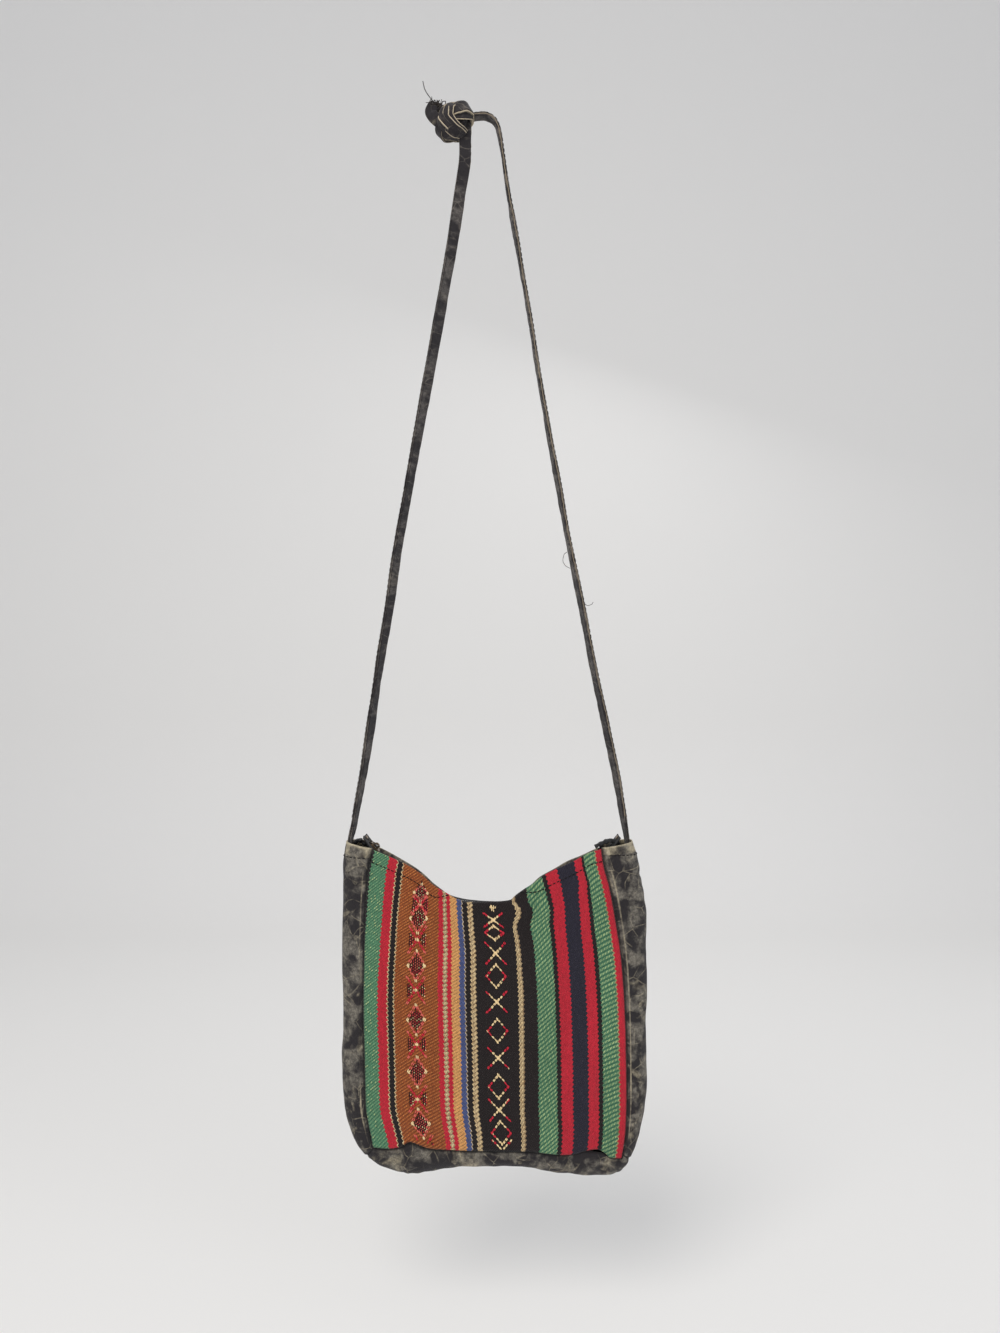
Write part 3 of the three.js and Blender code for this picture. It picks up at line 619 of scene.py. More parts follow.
def cotton_material(name, settings, size=0.014, bleaching=0.5, seed=0.0, squeeze=(1, 1, 1), strength=0.7, middle=None,
        pale=None):
    """Acid-washed black cotton, for the gusset, the back and the strap."""
    material, tree, shader = new_material(name)
    spot = object_place(tree)
    wash = placed(tree, group("acid wash"), Place=stretched(tree, spot, *squeeze), Dark=tuple(settings.dark),
                  Middle=middle or tuple(settings.middle), Pale=pale or tuple(settings.pale), Patch_size=size,
                  Bleaching=bleaching, Wear=attribute_of(tree, "wear"), Seed=seed)
    x, y, z = split_up(tree, spot)
    yarn = placed(tree, group("yarns"), Across=(x + y) * 1000.0, Down=z * 1000.0,
                  Yarn_width=0.55, Float_length=1.1, Shift=0.33)
    # painted shade from the seam value: seam grooves, gusset tucks and creases, the strap's open fold
    seam = attribute_of(tree, "seam").smooth(0.1, 1.0)
    colour = blended(tree, Signal(tree, yarn["Variation"]) * 0.16, wash["Color"], tuple(settings.dark))
    colour = blended(tree, seam * 0.85, colour, (0.006, 0.0055, 0.006))
    connect(tree, colour, shader.inputs["Base Color"])
    connect(tree, wash["Roughness"], shader.inputs["Roughness"])
    shader.inputs["Sheen Weight"].default_value = 0.12
    shader.inputs["Specular IOR Level"].default_value = 0.2
    raised(tree, shader, Signal(tree, wash["Height"]) + Signal(tree, yarn["Height"]) * 0.25, strength, 0.0009)
    return material


def thread_material(name, colour, variation=0.35, roughness=0.75):
    """Plain twisted thread, a little uneven in colour."""
    material, tree, shader = new_material(name)
    spot = object_place(tree)
    tone = cloudy(tree, spot, 650.0, 3.0, 0.6) * (variation * 2) + (1 - variation)
    connect(tree, shaded(tree, colour, tone), shader.inputs["Base Color"])
    connect(tree, cloudy(tree, spot, 900.0) * 0.15 + (roughness - 0.08), shader.inputs["Roughness"])
    shader.inputs["Specular IOR Level"].default_value = 0.25
    raised(tree, shader, cloudy(tree, stretched(tree, spot, 1, 1, 2), 1500.0), 0.4, 0.0003)
    return material


def tape_material(name, colour, shine=0.6):
    """Close-woven zip tape or lining, with a fine herringbone."""
    material, tree, shader = new_material(name)
    spot = object_place(tree)
    x, y, z = (value * 1000.0 for value in split_up(tree, spot))
    yarn = placed(tree, group("yarns"), Across=x + z * 0.7, Down=y + z * 0.3, Yarn_width=0.5, Float_length=0.9,
            Shift=0.5)
    vary = Signal(tree, yarn["Variation"])
    tone = vary * 0.5 + cloudy(tree, spot, 90.0) * 0.5 + 0.5
    connect(tree, shaded(tree, colour, tone), shader.inputs["Base Color"])
    connect(tree, vary * 0.15 + shine, shader.inputs["Roughness"])
    raised(tree, shader, yarn["Height"], 0.4, 0.0003)
    return material


def metal_material(settings):
    """Black-plated zip metal, rubbed through to brass-grey on its edges."""
    material, tree, shader = new_material("rubbed_zip_metal")
    spot = object_place(tree)
    edge = tree.nodes.new("ShaderNodeNewGeometry").outputs["Pointiness"]
    rubbed = (Signal(tree, edge).smooth(0.5, 0.62) * 0.6 + cloudy(tree, spot, 700.0, 4.0, 0.7).smooth(0.5,
            0.7) * 0.5).smooth(0.3, 0.8)
    connect(tree, blended(tree, rubbed, tuple(settings.metal), paint(150, 128, 104)), shader.inputs["Base Color"])
    connect(tree, cloudy(tree, spot, 1200.0, 3.0) * 0.3 + 0.22, shader.inputs["Roughness"])
    shader.inputs["Metallic"].default_value = 0.9
    raised(tree, shader, cloudy(tree, spot, 1500.0, 3.0), 0.15, 0.0002)
    return material


def coil_material():
    material, tree, shader = new_material("nylon_coil")
    spot = object_place(tree)
    dust = cloudy(tree, spot, 500.0, 3.0, 0.7).smooth(0.5, 0.75)
    connect(tree, blended(tree, dust * 0.5, (0.006, 0.006, 0.007), (0.035, 0.033, 0.032)),
            shader.inputs["Base Color"])
    connect(tree, dust * 0.25 + 0.35, shader.inputs["Roughness"])
    raised(tree, shader, cloudy(tree, spot, 1800.0), 0.2, 0.0002)
    return material


# ---------- geometry node trees ----------


def geometry_tree(name, inputs):
    tree = bpy.data.node_groups.new(name, "GeometryNodeTree")
    tree.interface.new_socket("Geometry", in_out="INPUT", socket_type="NodeSocketGeometry")
    for label, kind, default in inputs:
        socket = tree.interface.new_socket(label, in_out="INPUT", socket_type=kind)
        if default is not None:
            socket.default_value = default
    tree.interface.new_socket("Geometry", in_out="OUTPUT", socket_type="NodeSocketGeometry")
    entry, leave = tree.nodes.new("NodeGroupInput"), tree.nodes.new("NodeGroupOutput")
    return tree, entry.outputs, leave.inputs[0]


def finish_tree(tree, instances, material, leave):
    real = step(tree, "GeometryNodeRealizeInstances", {0: instances})
    smooth = step(tree, "GeometryNodeSetShadeSmooth", {0: real})
    connect(tree, step(tree, "GeometryNodeSetMaterial", {"Geometry": smooth, "Material": material}), leave)


def bead_row_tree():
    """Beads, such as stitches or zip teeth, at an even pitch along lines."""
    tree, given, leave = geometry_tree(
        "Row of beads",
        [("Pitch", NUMBER, 0.003), ("Bead", VECTOR, None), ("Sides", "NodeSocketInt", 8),
        ("Material", "NodeSocketMaterial", None)],
    )
    line = step(tree, "GeometryNodeMeshToCurve", {0: given["Geometry"]})
    even = step(tree, "GeometryNodeResampleCurve", {"Curve": line, "Length": given["Pitch"]}, mode="LENGTH")
    bead = step(tree, "GeometryNodeMeshUVSphere", {"Segments": given["Sides"], "Rings": 6, "Radius": 1.0})
    way = step(tree, "GeometryNodeInputTangent", {})
    turn = step(tree, "FunctionNodeAlignRotationToVector", {"Vector": way}, axis="X")
    put = step(tree, "GeometryNodeInstanceOnPoints", {"Points": even, "Instance": bead.outputs["Mesh"],
                                                      "Rotation": turn, "Scale": given["Bead"]})
    finish_tree(tree, put, given["Material"], leave)
    return tree


def floats_tree():
    """Raised floats of yarn, each laid along its own direction."""
    tree, given, leave = geometry_tree(
        "Floats of yarn", [("Thickness", NUMBER, 0.0005), ("Unevenness", NUMBER, 0.2), ("Seed", "NodeSocketInt", 3),
        ("Material", "NodeSocketMaterial", None)]
    )
    way = step(tree, "GeometryNodeInputNamedAttribute", {0: "way"}, data_type="FLOAT_VECTOR")
    size = step(tree, "ShaderNodeVectorMath", {0: way}, operation="LENGTH")
    turn = step(tree, "FunctionNodeAlignRotationToVector", {"Vector": way}, axis="X")
    chance = step(tree, "FunctionNodeRandomValue", {"Seed": given["Seed"]})
    thick = Signal(tree, given["Thickness"]) * (Signal(tree, chance.outputs[1]) * given["Unevenness"] + 1.0)
    scale = joined(tree, size.outputs["Value"], thick, thick * 0.75)
    bead = step(tree, "GeometryNodeMeshUVSphere", {"Segments": 8, "Rings": 6, "Radius": 1.0})
    put = step(tree, "GeometryNodeInstanceOnPoints", {"Points": given["Geometry"], "Instance": bead.outputs["Mesh"],
                                                      "Rotation": turn, "Scale": scale})
    finish_tree(tree, put, given["Material"], leave)
    return tree


def threads_tree():
    """Round threads along lines."""
    tree, given, leave = geometry_tree(
        "Loose threads", [("Radius", NUMBER, 0.0003), ("Sides", "NodeSocketInt", 6),
        ("Material", "NodeSocketMaterial", None)]
    )
    line = step(tree, "GeometryNodeMeshToCurve", {0: given["Geometry"]})
    ring = step(tree, "GeometryNodeCurvePrimitiveCircle", {"Radius": given["Radius"], "Resolution": given["Sides"]})
    skin = step(tree, "GeometryNodeCurveToMesh", {"Curve": line, "Profile Curve": ring, "Fill Caps": True})
    finish_tree(tree, skin, given["Material"], leave)
    return tree


def grown(name, tree_name, lines=(), points=None, **inputs):
    """Runs a geometry tree over lines or points, and keeps the result as a plain mesh."""
    key = {"beads": bead_row_tree, "floats": floats_tree, "threads": threads_tree}[tree_name]
    if tree_name not in GROUPS:
        GROUPS[tree_name] = key()
    tree = GROUPS[tree_name]
    mesh = bpy.data.meshes.new(name + "_path")
    if points is None:
        verts, edges = [], []
        for line in lines:
            edges += [(len(verts) + i, len(verts) + i + 1) for i in range(len(line) - 1)]
            verts += [tuple(p) for p in line]
        mesh.from_pydata(verts, edges, [])
    else:
        mesh.from_pydata([tuple(p) for p in points[0]], [], [])
        way = mesh.attributes.new("way", "FLOAT_VECTOR", "POINT")
        way.data.foreach_set("vector", np.asarray(points[1], np.float32).ravel())
    seed = bpy.data.objects.new(name + "_path", mesh)
    bpy.context.scene.collection.objects.link(seed)
    modifier = seed.modifiers.new("grow", "NODES")
    modifier.node_group = tree
    for socket in tree.interface.items_tree:
        if socket.item_type == "SOCKET" and socket.in_out == "INPUT" and socket.name.replace(" ", "_") in inputs:
            modifier[socket.identifier] = inputs[socket.name.replace(" ", "_")]
    bpy.context.view_layer.update()
    shaped = seed.evaluated_get(bpy.context.evaluated_depsgraph_get())
    result = bpy.data.meshes.new_from_object(shaped)
    bpy.data.objects.remove(seed)
    if not len(result.polygons):
        raise RuntimeError(f"{name}: nothing grew")
    for attribute in [a.name for a in result.attributes if a.name == "way"]:
        result.attributes.remove(result.attributes[attribute])
    result.name = name
    piece = bpy.data.objects.new(name, result)
    bpy.context.scene.collection.objects.link(piece)
    return piece


# ---------- shape of the bag ----------

# Outline, in millimetres: across from the bag's middle, and down from the mouth's corners.
RIM_LINE = [(-89.4, 3.8), (-76.3, 8.9), (-65.3, 14), (-53.4, 21.6), (-44.9, 29.3), (-33, 37.7), (-26.2, 41.9),
        (-16, 44.2),
            (4.3, 43.7), (14.5, 42.3), (21.2, 37.6), (28, 31.6), (36.7, 23.3), (48.5, 16.5), (58.7, 10.6),
            (70.6, 6.3), (82.5, 3.4)]
LEFT_SEAM = smooth_line([(-5, -88.6), (3.8, -89.4), (23, -93.2), (70, -95.8), (121, -96.7), (163, -95.8), (197, -95),
        (212, -92.6), (222, -90.7), (232, -89.5)])
RIGHT_SEAM = smooth_line([(-5, 81.6), (3.4, 82.5), (16, 84.4), (31, 88.4), (60, 93.8), (87, 97.7), (121, 100.2),
        (155, 101.3), (189, 101.7), (211, 101.2), (226, 99.7), (238, 97.4)])
BASE_SEAM = smooth_line([(-90, 228), (-78.9, 229.1), (-68.7, 227.9), (-61.9, 224.2), (-55.1, 226.2), (-46.6, 229.1),
        (-33, 230), (-16, 230.8), (2.6, 231),
                         (14.5, 231.3), (28, 231.3), (40, 232.7), (53.6, 233.9), (62.1, 233.3), (70.6, 230.5),
                         (79, 229.6), (84.1, 232.2), (89.2, 236.1), (96.9, 236.4)])
# Along the gusset, from its top left to its top right: the front seam, and the fold's line beyond it.
SEAM_AND_FOLD = [
    ((-89.4, 3.0), (-111, -1.5)), ((-93.2, 23), (-113, 22)), ((-95.8, 70), (-113.6, 70)),
    ((-96.7, 121), (-113.2, 121)),
    ((-95.8, 163), (-113.9, 163)), ((-95, 197), (-112.4, 197)), ((-92.6, 212), (-107.9, 217)),
    ((-90.2, 224), (-99, 232.5)),
    ((-86.5, 228.3), (-91, 240)), ((-78.9, 229.1), (-82, 246)), ((-68.7, 227.9), (-71, 249.6)),
    ((-61.9, 224.2), (-63, 251.2)),
    ((-55.1, 226.2), (-55, 250.8)), ((-46.6, 229.1), (-47, 249.3)), ((-33, 230), (-32, 246.5)),
    ((-16, 230.8), (-15, 244.8)),
    ((2.6, 231), (3, 244.4)), ((28.1, 231.3), (27, 246.2)), ((40, 232.7), (40.6, 248.6)),
    ((53.6, 233.9), (57, 250.4)),
    ((70.6, 230.5), (74, 251.7)), ((84.1, 232.2), (88, 251.4)), ((90, 236), (96, 248.5)),
    ((96.9, 236.2), (102.5, 243)),
    ((99.9, 226), (108, 234)), ((101.2, 211), (114, 212)), ((101.7, 189), (117.2, 187)), ((101.3, 155), (117.8, 150)),
    ((100.2, 121), (118.3, 115)), ((97.7, 87), (117.8, 80)), ((93.8, 60), (116.6, 56)), ((88.4, 31), (113.3, 31)),
    ((84.4, 16), (111.2, 17)), ((82.5, 2.6), (107.5, -1.5)),
]
LEFT_MITRE, RIGHT_MITRE = 7.5, 23.5  # places in that list where the side gussets meet the bottom one
BACK_DROP = smooth_line([(-95, 0.6), (-86, 1.4), (-79, 2.4), (-66, 4.1), (-50, 5.0), (-25, 4.8), (5, 4.6), (40, 5.8),
        (65, 6.0), (85, 2.0)])
CREASE = smooth_line([(38, -2.2), (43, -2.0), (49, 1.7), (54, 1.0), (58, -1.6), (63, -2.8), (70, -1.9), (85, -1.2),
        (110, -0.6), (150, -0.8), (190, -1.2), (226, -1.9)])
# How far the stripes at 148 mm, and those at 169 mm, from the left seam lean to the right.
LEAN_NEAR = smooth_line([(15, 1), (26, 1.8), (36, 2.4), (44, 2.4), (52, 1.2), (60, 0), (75, -0.3), (110, 0)])
LEAN_FAR = smooth_line([(10, 6), (26, 5.9), (37, 3), (52, 1), (67, 0)])
HEM_SHOWN = smooth_line([(0, -3), (45, -3), (75, -1.5), (110, 0), (190, 0), (226, -2.3)])


# Folds of the front, in millimetres: how far out, the middle across, its lean for each millimetre down from a level,
# its width, and the height and reach of its middle. The first runs down from the mouth beside the right cream stripe.
FRONT_FOLDS = [
    (-3.2, 31, -0.3, 50, 4.2, 48, 15), (1.3, 22, 0.12, 60, 4.5, 60, 14), (-1.4, 52, -0.25, 40, 5.5, 42, 26),
    (-2.2, -57, 0.25, 40, 6, 42, 17), (1.0, -44, 0, 0, 7, 55, 22), (-1.2, 86, -0.1, 150, 4, 190, 30),
    (-1.1, -60, 0, 0, 12, 216, 7),
]


def rim_curves():
    points = np.array(RIM_LINE)
    run = np.concatenate([[0], np.cumsum(np.linalg.norm(np.diff(points, axis=0), axis=1))])
    share = run / run[-1]
    return smooth_line(list(zip(share, points[:, 0]))), smooth_line(list(zip(share, points[:, 1])))


RIM_ACROSS, RIM_DOWN = rim_curves()


def rolled(x):
    """How far the lip rolls inward over the mouth, from 0 on its flanks to 1 in the middle."""
    return step_up(-46, -27, x) * (1 - step_up(18, 36, x))


class Panel:
    """The front (side -1) or back (side 1) of the bag as a surface over (across, down) shares."""

    TAIL = 6.0  # cloth of the hem that hangs inside

    def __init__(self, side):
        self.side = side

    def fall(self, c):
        """Height of the mouth's edge below its corners at a share across, and where it is across."""
        x = RIM_ACROSS(c)
        down = RIM_DOWN(c)
        if self.side > 0:
            down = down + BACK_DROP(x)
        return x, down

    def place(self, c, down_from_rim):
        """(across, down) in millimetres of a cloth point, on the seams' flat layout."""
        x_top, top = self.fall(c)
        d = top + down_from_rim
        left, right = LEFT_SEAM(d), RIGHT_SEAM(d)
        level = left + c * (right - left)
        level_top = LEFT_SEAM(top) + c * (RIGHT_SEAM(top) - LEFT_SEAM(top))
        x = level + (x_top - level_top) * (1 - step_up(0, 46, down_from_rim))
        s = HEM_SHOWN(d) + c * (CLOTH_WIDTH - HEM_SHOWN(d))
        if self.side < 0:
            near = np.where(s < 121, np.exp(-(((s - 121) / 6.5) ** 2)), np.exp(-(((s - 121) / 17) ** 2)))
            x = x + CREASE(d) * near * step_up(0.4, 1.0, CREASE(d) ** 2 + 0.3)
            x = x + LEAN_NEAR(d) * np.exp(-(((s - 148) / 14) ** 2)) + LEAN_FAR(d) * np.exp(-(((s - 169) / 12) ** 2))
        return x, d, s

    def height(self, c):
        """Cloth from the mouth's edge to the bottom seam, in millimetres."""
        top = self.fall(c)[1]
        bottom_x = -90 + c * 187
        return BASE_SEAM(bottom_x) - top

    def depth(self, x, d, down):
        """How far the cloth stands from the bag's mid plane, in millimetres."""
        lip = rolled(x) * np.exp(-((np.maximum(down, 0) / 34) ** 2))
        y = HALF_DEPTH - 3.0 * lip
        left, right = LEFT_SEAM(d), RIGHT_SEAM(d)
        edge = np.minimum(np.minimum(x - left, right - x), BASE_SEAM(x) - d)
        calm = step_up(0, 14, edge)
        seed = 11 if self.side < 0 else 47
        y = y + 1.1 * hills(x, d * 0.55, 31, seed) * calm + 0.58 * hills(x * 1.2, d * 0.7, 13, seed + 1) * calm
        y = y + 0.14 * hills(x, d, 4.5, seed + 2) * step_up(0, 5, edge)
        if self.side < 0:
            for lift, middle, lean, level, width, drop, reach in FRONT_FOLDS:
                across = (x - middle - lean * (d - level)) / width
                y = y + lift * np.exp(-(across ** 2) - ((d - drop) / reach) ** 2)
        y = y - 1.9 * np.clip(1 - edge / 2.4, 0, 1) ** 1.6
        hem = np.exp(-(((down - self.hem_row(x)) / 0.9) ** 2))
        return y - 0.55 * hem + 0.35 * step_up(0.5, -0.5, down - self.hem_row(x)) * calm, edge

    def hem_row(self, x):
        """How far below the shown edge the hem's stitching runs, in millimetres."""
        return 9.0 - 11.0 * rolled(x)

    def point(self, c, down):
        """Points of the shown face, in metres, with their (s, edge)."""
        x, d, s = self.place(c, down)
        y, edge = self.depth(x, d, down)
        return np.stack([MIDDLE_X + x * MM, self.side * y * MM, RIM_Z - d * MM], -1), s, edge

    def grid(self, columns, rows):
        """The whole cloth, with its edge turned over to the inside: points, s, t and edge."""
        c = np.linspace(0, 1, columns)[None, :]
        share = np.linspace(0, 1, rows)[:, None]
        roll = rolled(self.fall(c)[0])
        radius = 1.1 + 1.5 * roll
        down = radius + share * (self.height(c) - radius)
        front, s, edge = self.point(np.broadcast_to(c, down.shape), down)
        # over the top and down inside
        turns = np.linspace(math.pi, 0, 10)[:, None]
        first = front[0:1]
        curl = np.broadcast_to(first, (10, columns, 3)).copy()
        curl[..., 1] -= self.side * (radius * (1 - np.cos(turns))) * MM
        curl[..., 2] += radius * np.sin(turns) * MM
        tail = np.linspace(1, 0.2, 4)[:, None]
        inside = np.broadcast_to(curl[0:1], (4, columns, 3)).copy()
        inside[..., 2] -= self.TAIL * tail * MM
        points = np.concatenate([inside, curl[:-1], front])
        extra = len(inside) + len(curl) - 1  # rows over the top and inside
        s = np.concatenate([np.broadcast_to(s[0:1], (extra, columns)), s])
        t = np.concatenate([-radius * turns[:-1] - 0 * c + radius, down])
        t = np.concatenate([t[0:1] - self.TAIL * tail + 0 * c, t])
        edge = np.concatenate([np.broadcast_to(edge[0:1], (extra, columns)), edge])
        return points, s, t, edge


# How much painted shade a seam's groove gets: 1 on the seam, fading to 0 at `reach` millimetres from it
def seam_groove_shade(edge, reach=1.3):
    return np.clip(1 - edge / reach, 0, 1)


def front_share(panel, s, d):
    """The (across share, down) of a point given its cloth place s and its height, in millimetres."""
    s, d = np.asarray(s, float), np.asarray(d, float)
    c = (s - HEM_SHOWN(d)) / (CLOTH_WIDTH - HEM_SHOWN(d))
    return c, d - panel.fall(c)[1]


def raised_points(panel, c, down, lift):
    """Points just above a panel's face, and the face's directions across and down there."""
    here = panel.point(c, down)[0]
    right = unit(panel.point(c + 0.004, down)[0] - here)
    below = unit(panel.point(c, down + 0.8)[0] - here)
    out = unit(np.cross(right, below))
    out = out * np.sign(out[..., 1:2] * panel.side)
    return here + out * lift, right, below, out


def own(piece, body, slot, *nodes):
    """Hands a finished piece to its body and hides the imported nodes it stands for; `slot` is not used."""
    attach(piece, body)
    if nodes:
        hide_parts(*nodes)
    return piece


# ---------- settings ----------


def length(name, description, default):
    return FloatProperty(name=name, description=description, subtype="DISTANCE", unit="LENGTH", default=default)


def tint(name, description, default):
    return FloatVectorProperty(name=name, description=description, subtype="COLOR", size=3, default=default, min=0,
            max=1)


class StageSettings(bpy.types.PropertyGroup):
    backdrop: tint("Backdrop", "Colour of the floor and backdrop", (0.87, 0.86, 0.84))
    key_power: FloatProperty(name="Key light", description="Power of the big soft light", default=16.0, min=0)
    fill_power: FloatProperty(name="Fill light", description="Power of the two fill lights", default=5.0, min=0)
    sky: FloatProperty(name="Sky", description="Strength of the even light from all round", default=0.55, min=0)


class WovenSettings(bpy.types.PropertyGroup):
    thickness: length("Cloth thickness", "Thickness of the woven cloth", 0.0009)
    grain: length("Mesh step", "Distance between the front's mesh points", 0.00115)
    yarn_width: length("Yarn width", "Width of one warp yarn", 0.0009)
    weave_repeat: length("Weave repeat", "From one step of the twill to the next, down the cloth", 0.0034)


class CottonSettings(bpy.types.PropertyGroup):
    thickness: length("Cotton thickness", "Thickness of the gusset's cloth", 0.001)
    dark: tint("Dark", "Colour where the dye is whole", paint(44, 41, 43))
    middle: tint("Middle", "Colour where the dye is washed out", paint(138, 132, 120))
    pale: tint("Pale", "Colour of bleached patches and worn edges", paint(196, 184, 156))
    crumple: length("Crumple", "Height of the gusset's crumples", 0.0012)


class ZipSettings(bpy.types.PropertyGroup):
    tooth_pitch: length("Tooth pitch", "From one coil turn to the next", 0.0014)
    metal: tint("Metal", "Colour of the slider's plating", (0.035, 0.029, 0.025))


class StrapSettings(bpy.types.PropertyGroup):
    width: length("Strap width", "Width of the folded strap", 0.009)
    thickness: length("Strap thickness", "Thickness of the folded strap", 0.0028)
    stitch_pitch: length("Stitch pitch", "From one edge stitch to the next", 0.0042)


class PurseSettings(bpy.types.PropertyGroup):
    stage: PointerProperty(type=StageSettings)
    woven: PointerProperty(type=WovenSettings)
    cotton: PointerProperty(type=CottonSettings)
    zip: PointerProperty(type=ZipSettings)
    strap: PointerProperty(type=StrapSettings)


# ---------- the stage ----------


class PURSE_OT_stage(bpy.types.Operator):
    """Set up the camera, the soft lights and a pale backdrop"""

    bl_idname = "purse.stage"
    bl_label = "Stage"

    def execute(self, context):
        settings = context.scene.purse.stage
        scene = context.scene
        camera = bpy.data.cameras.new("view")
        camera.sensor_width, camera.lens = 36.0, 27.0
        camera.clip_start, camera.clip_end = 0.02, 20.0
        eye = bpy.data.objects.new("view", camera)
        eye.location = (0.0122, -0.7625, -0.4182)
        eye.rotation_euler = (math.pi / 2, 0, 0)
        scene.collection.objects.link(eye)
        scene.camera = eye

        low = CAD_BOX[0].z - 0.13
        profile = [(-1.6, low)] + [(1.15 + 0.4 * math.sin(a), low + 0.4 - 0.4 * math.cos(a)) for a in np.linspace(0,
                math.pi / 2, 12)] + [(1.55, 1.9)]
        grid = np.array([[(x, y, z) for x in (-3.2, 3.2)] for y, z in profile])
        mesh = bpy.data.meshes.new("backdrop")
        mesh.from_pydata(grid.reshape(-1, 3).tolist(), [], grid_faces(len(profile), 2))
        mesh.polygons.foreach_set("use_smooth", [True] * len(mesh.polygons))
        material, tree, shader = new_material("pale_backdrop")
        shader.inputs["Base Color"].default_value = (*settings.backdrop, 1)
        shader.inputs["Roughness"].default_value = 0.95
        shader.inputs["Specular IOR Level"].default_value = 0.05
        mesh.materials.append(material)
        backdrop = bpy.data.objects.new("backdrop", mesh)
        scene.collection.objects.link(backdrop)

        world = bpy.data.worlds.new("even light")
        world.use_nodes = True
        world.node_tree.nodes["Background"].inputs[0].default_value = (0.93, 0.95, 1.0, 1)
        world.node_tree.nodes["Background"].inputs[1].default_value = settings.sky
        scene.world = world
        middle = Vector((0.01, 0, -0.5))
        for name, place, size, power, tint in (
            ("key", (-0.55, -1.25, 0.75), 1.1, settings.key_power, (1.0, 0.965, 0.92)),
            ("fill", (1.3, -1.2, -0.1), 1.2, settings.fill_power, (0.95, 0.97, 1.0)),
            ("back_fill", (0.4, 1.0, 0.7), 0.9, settings.fill_power, (1.0, 1.0, 1.0)),
        ):
            light = bpy.data.lights.new(name, "AREA")
            light.shape, light.size, light.energy, light.color = "DISK", size, power, tint
            lamp = bpy.data.objects.new(name, light)
            lamp.location = place
            lamp.rotation_mode = "QUATERNION"
            lamp.rotation_quaternion = (middle - Vector(place)).to_track_quat("-Z", "Y")
            scene.collection.objects.link(lamp)
        scene.view_settings.view_transform = "Standard"
        return {"FINISHED"}


# ---------- the woven front ----------

# Heights of the motifs' middles below the mouth's corners, in millimetres: diamonds, then crosses.
BLACK_DIAMONDS, BLACK_CROSSES = (66.5, 98.5, 139.6, 181.6, 216), (57, 81.5, 118, 160, 199, 229)
BROWN_DIAMONDS, BROWN_CROSSES = (36, 55, 90.5, 131, 170, 209), (45, 71, 109, 149.5, 190.5, 228)


BLACK_BAND, BROWN_BAND = 100.5, 39.75  # middles of the two motif bands, from the left seam, in millimetres
HIGH_MOTIFS, HIGHEST_MOTIFS = 67, 50  # motifs above these heights are squashed


def motif_strokes(kind, half_width, half_height):
    """Strokes of one outline motif, in millimetres: (across, down, lean across, lean down, half length, share of red)."""
    strokes = []
    for side in (-1, 1):
        for way in (-1, 1):
            for u in (0.2, 0.46, 0.72, 0.95):
                if kind == "diamond":
                    strokes.append((side * half_width * u, way * half_height * (1 - u) * 1.02, side, -way, 1.25, u))
                else:
                    strokes.append((side * half_width * u, way * half_height * u, side, way, 1.25, u))
    if kind == "cross":
        strokes += [(k * 0.55, 0.2 * k, 0.1, 1, 1.5, 0) for k in (-1, 1)]
    else:
        strokes += [(0.0, way * half_height, 0.1, 1, 1.3, 0) for way in (-1, 1)]
    return strokes


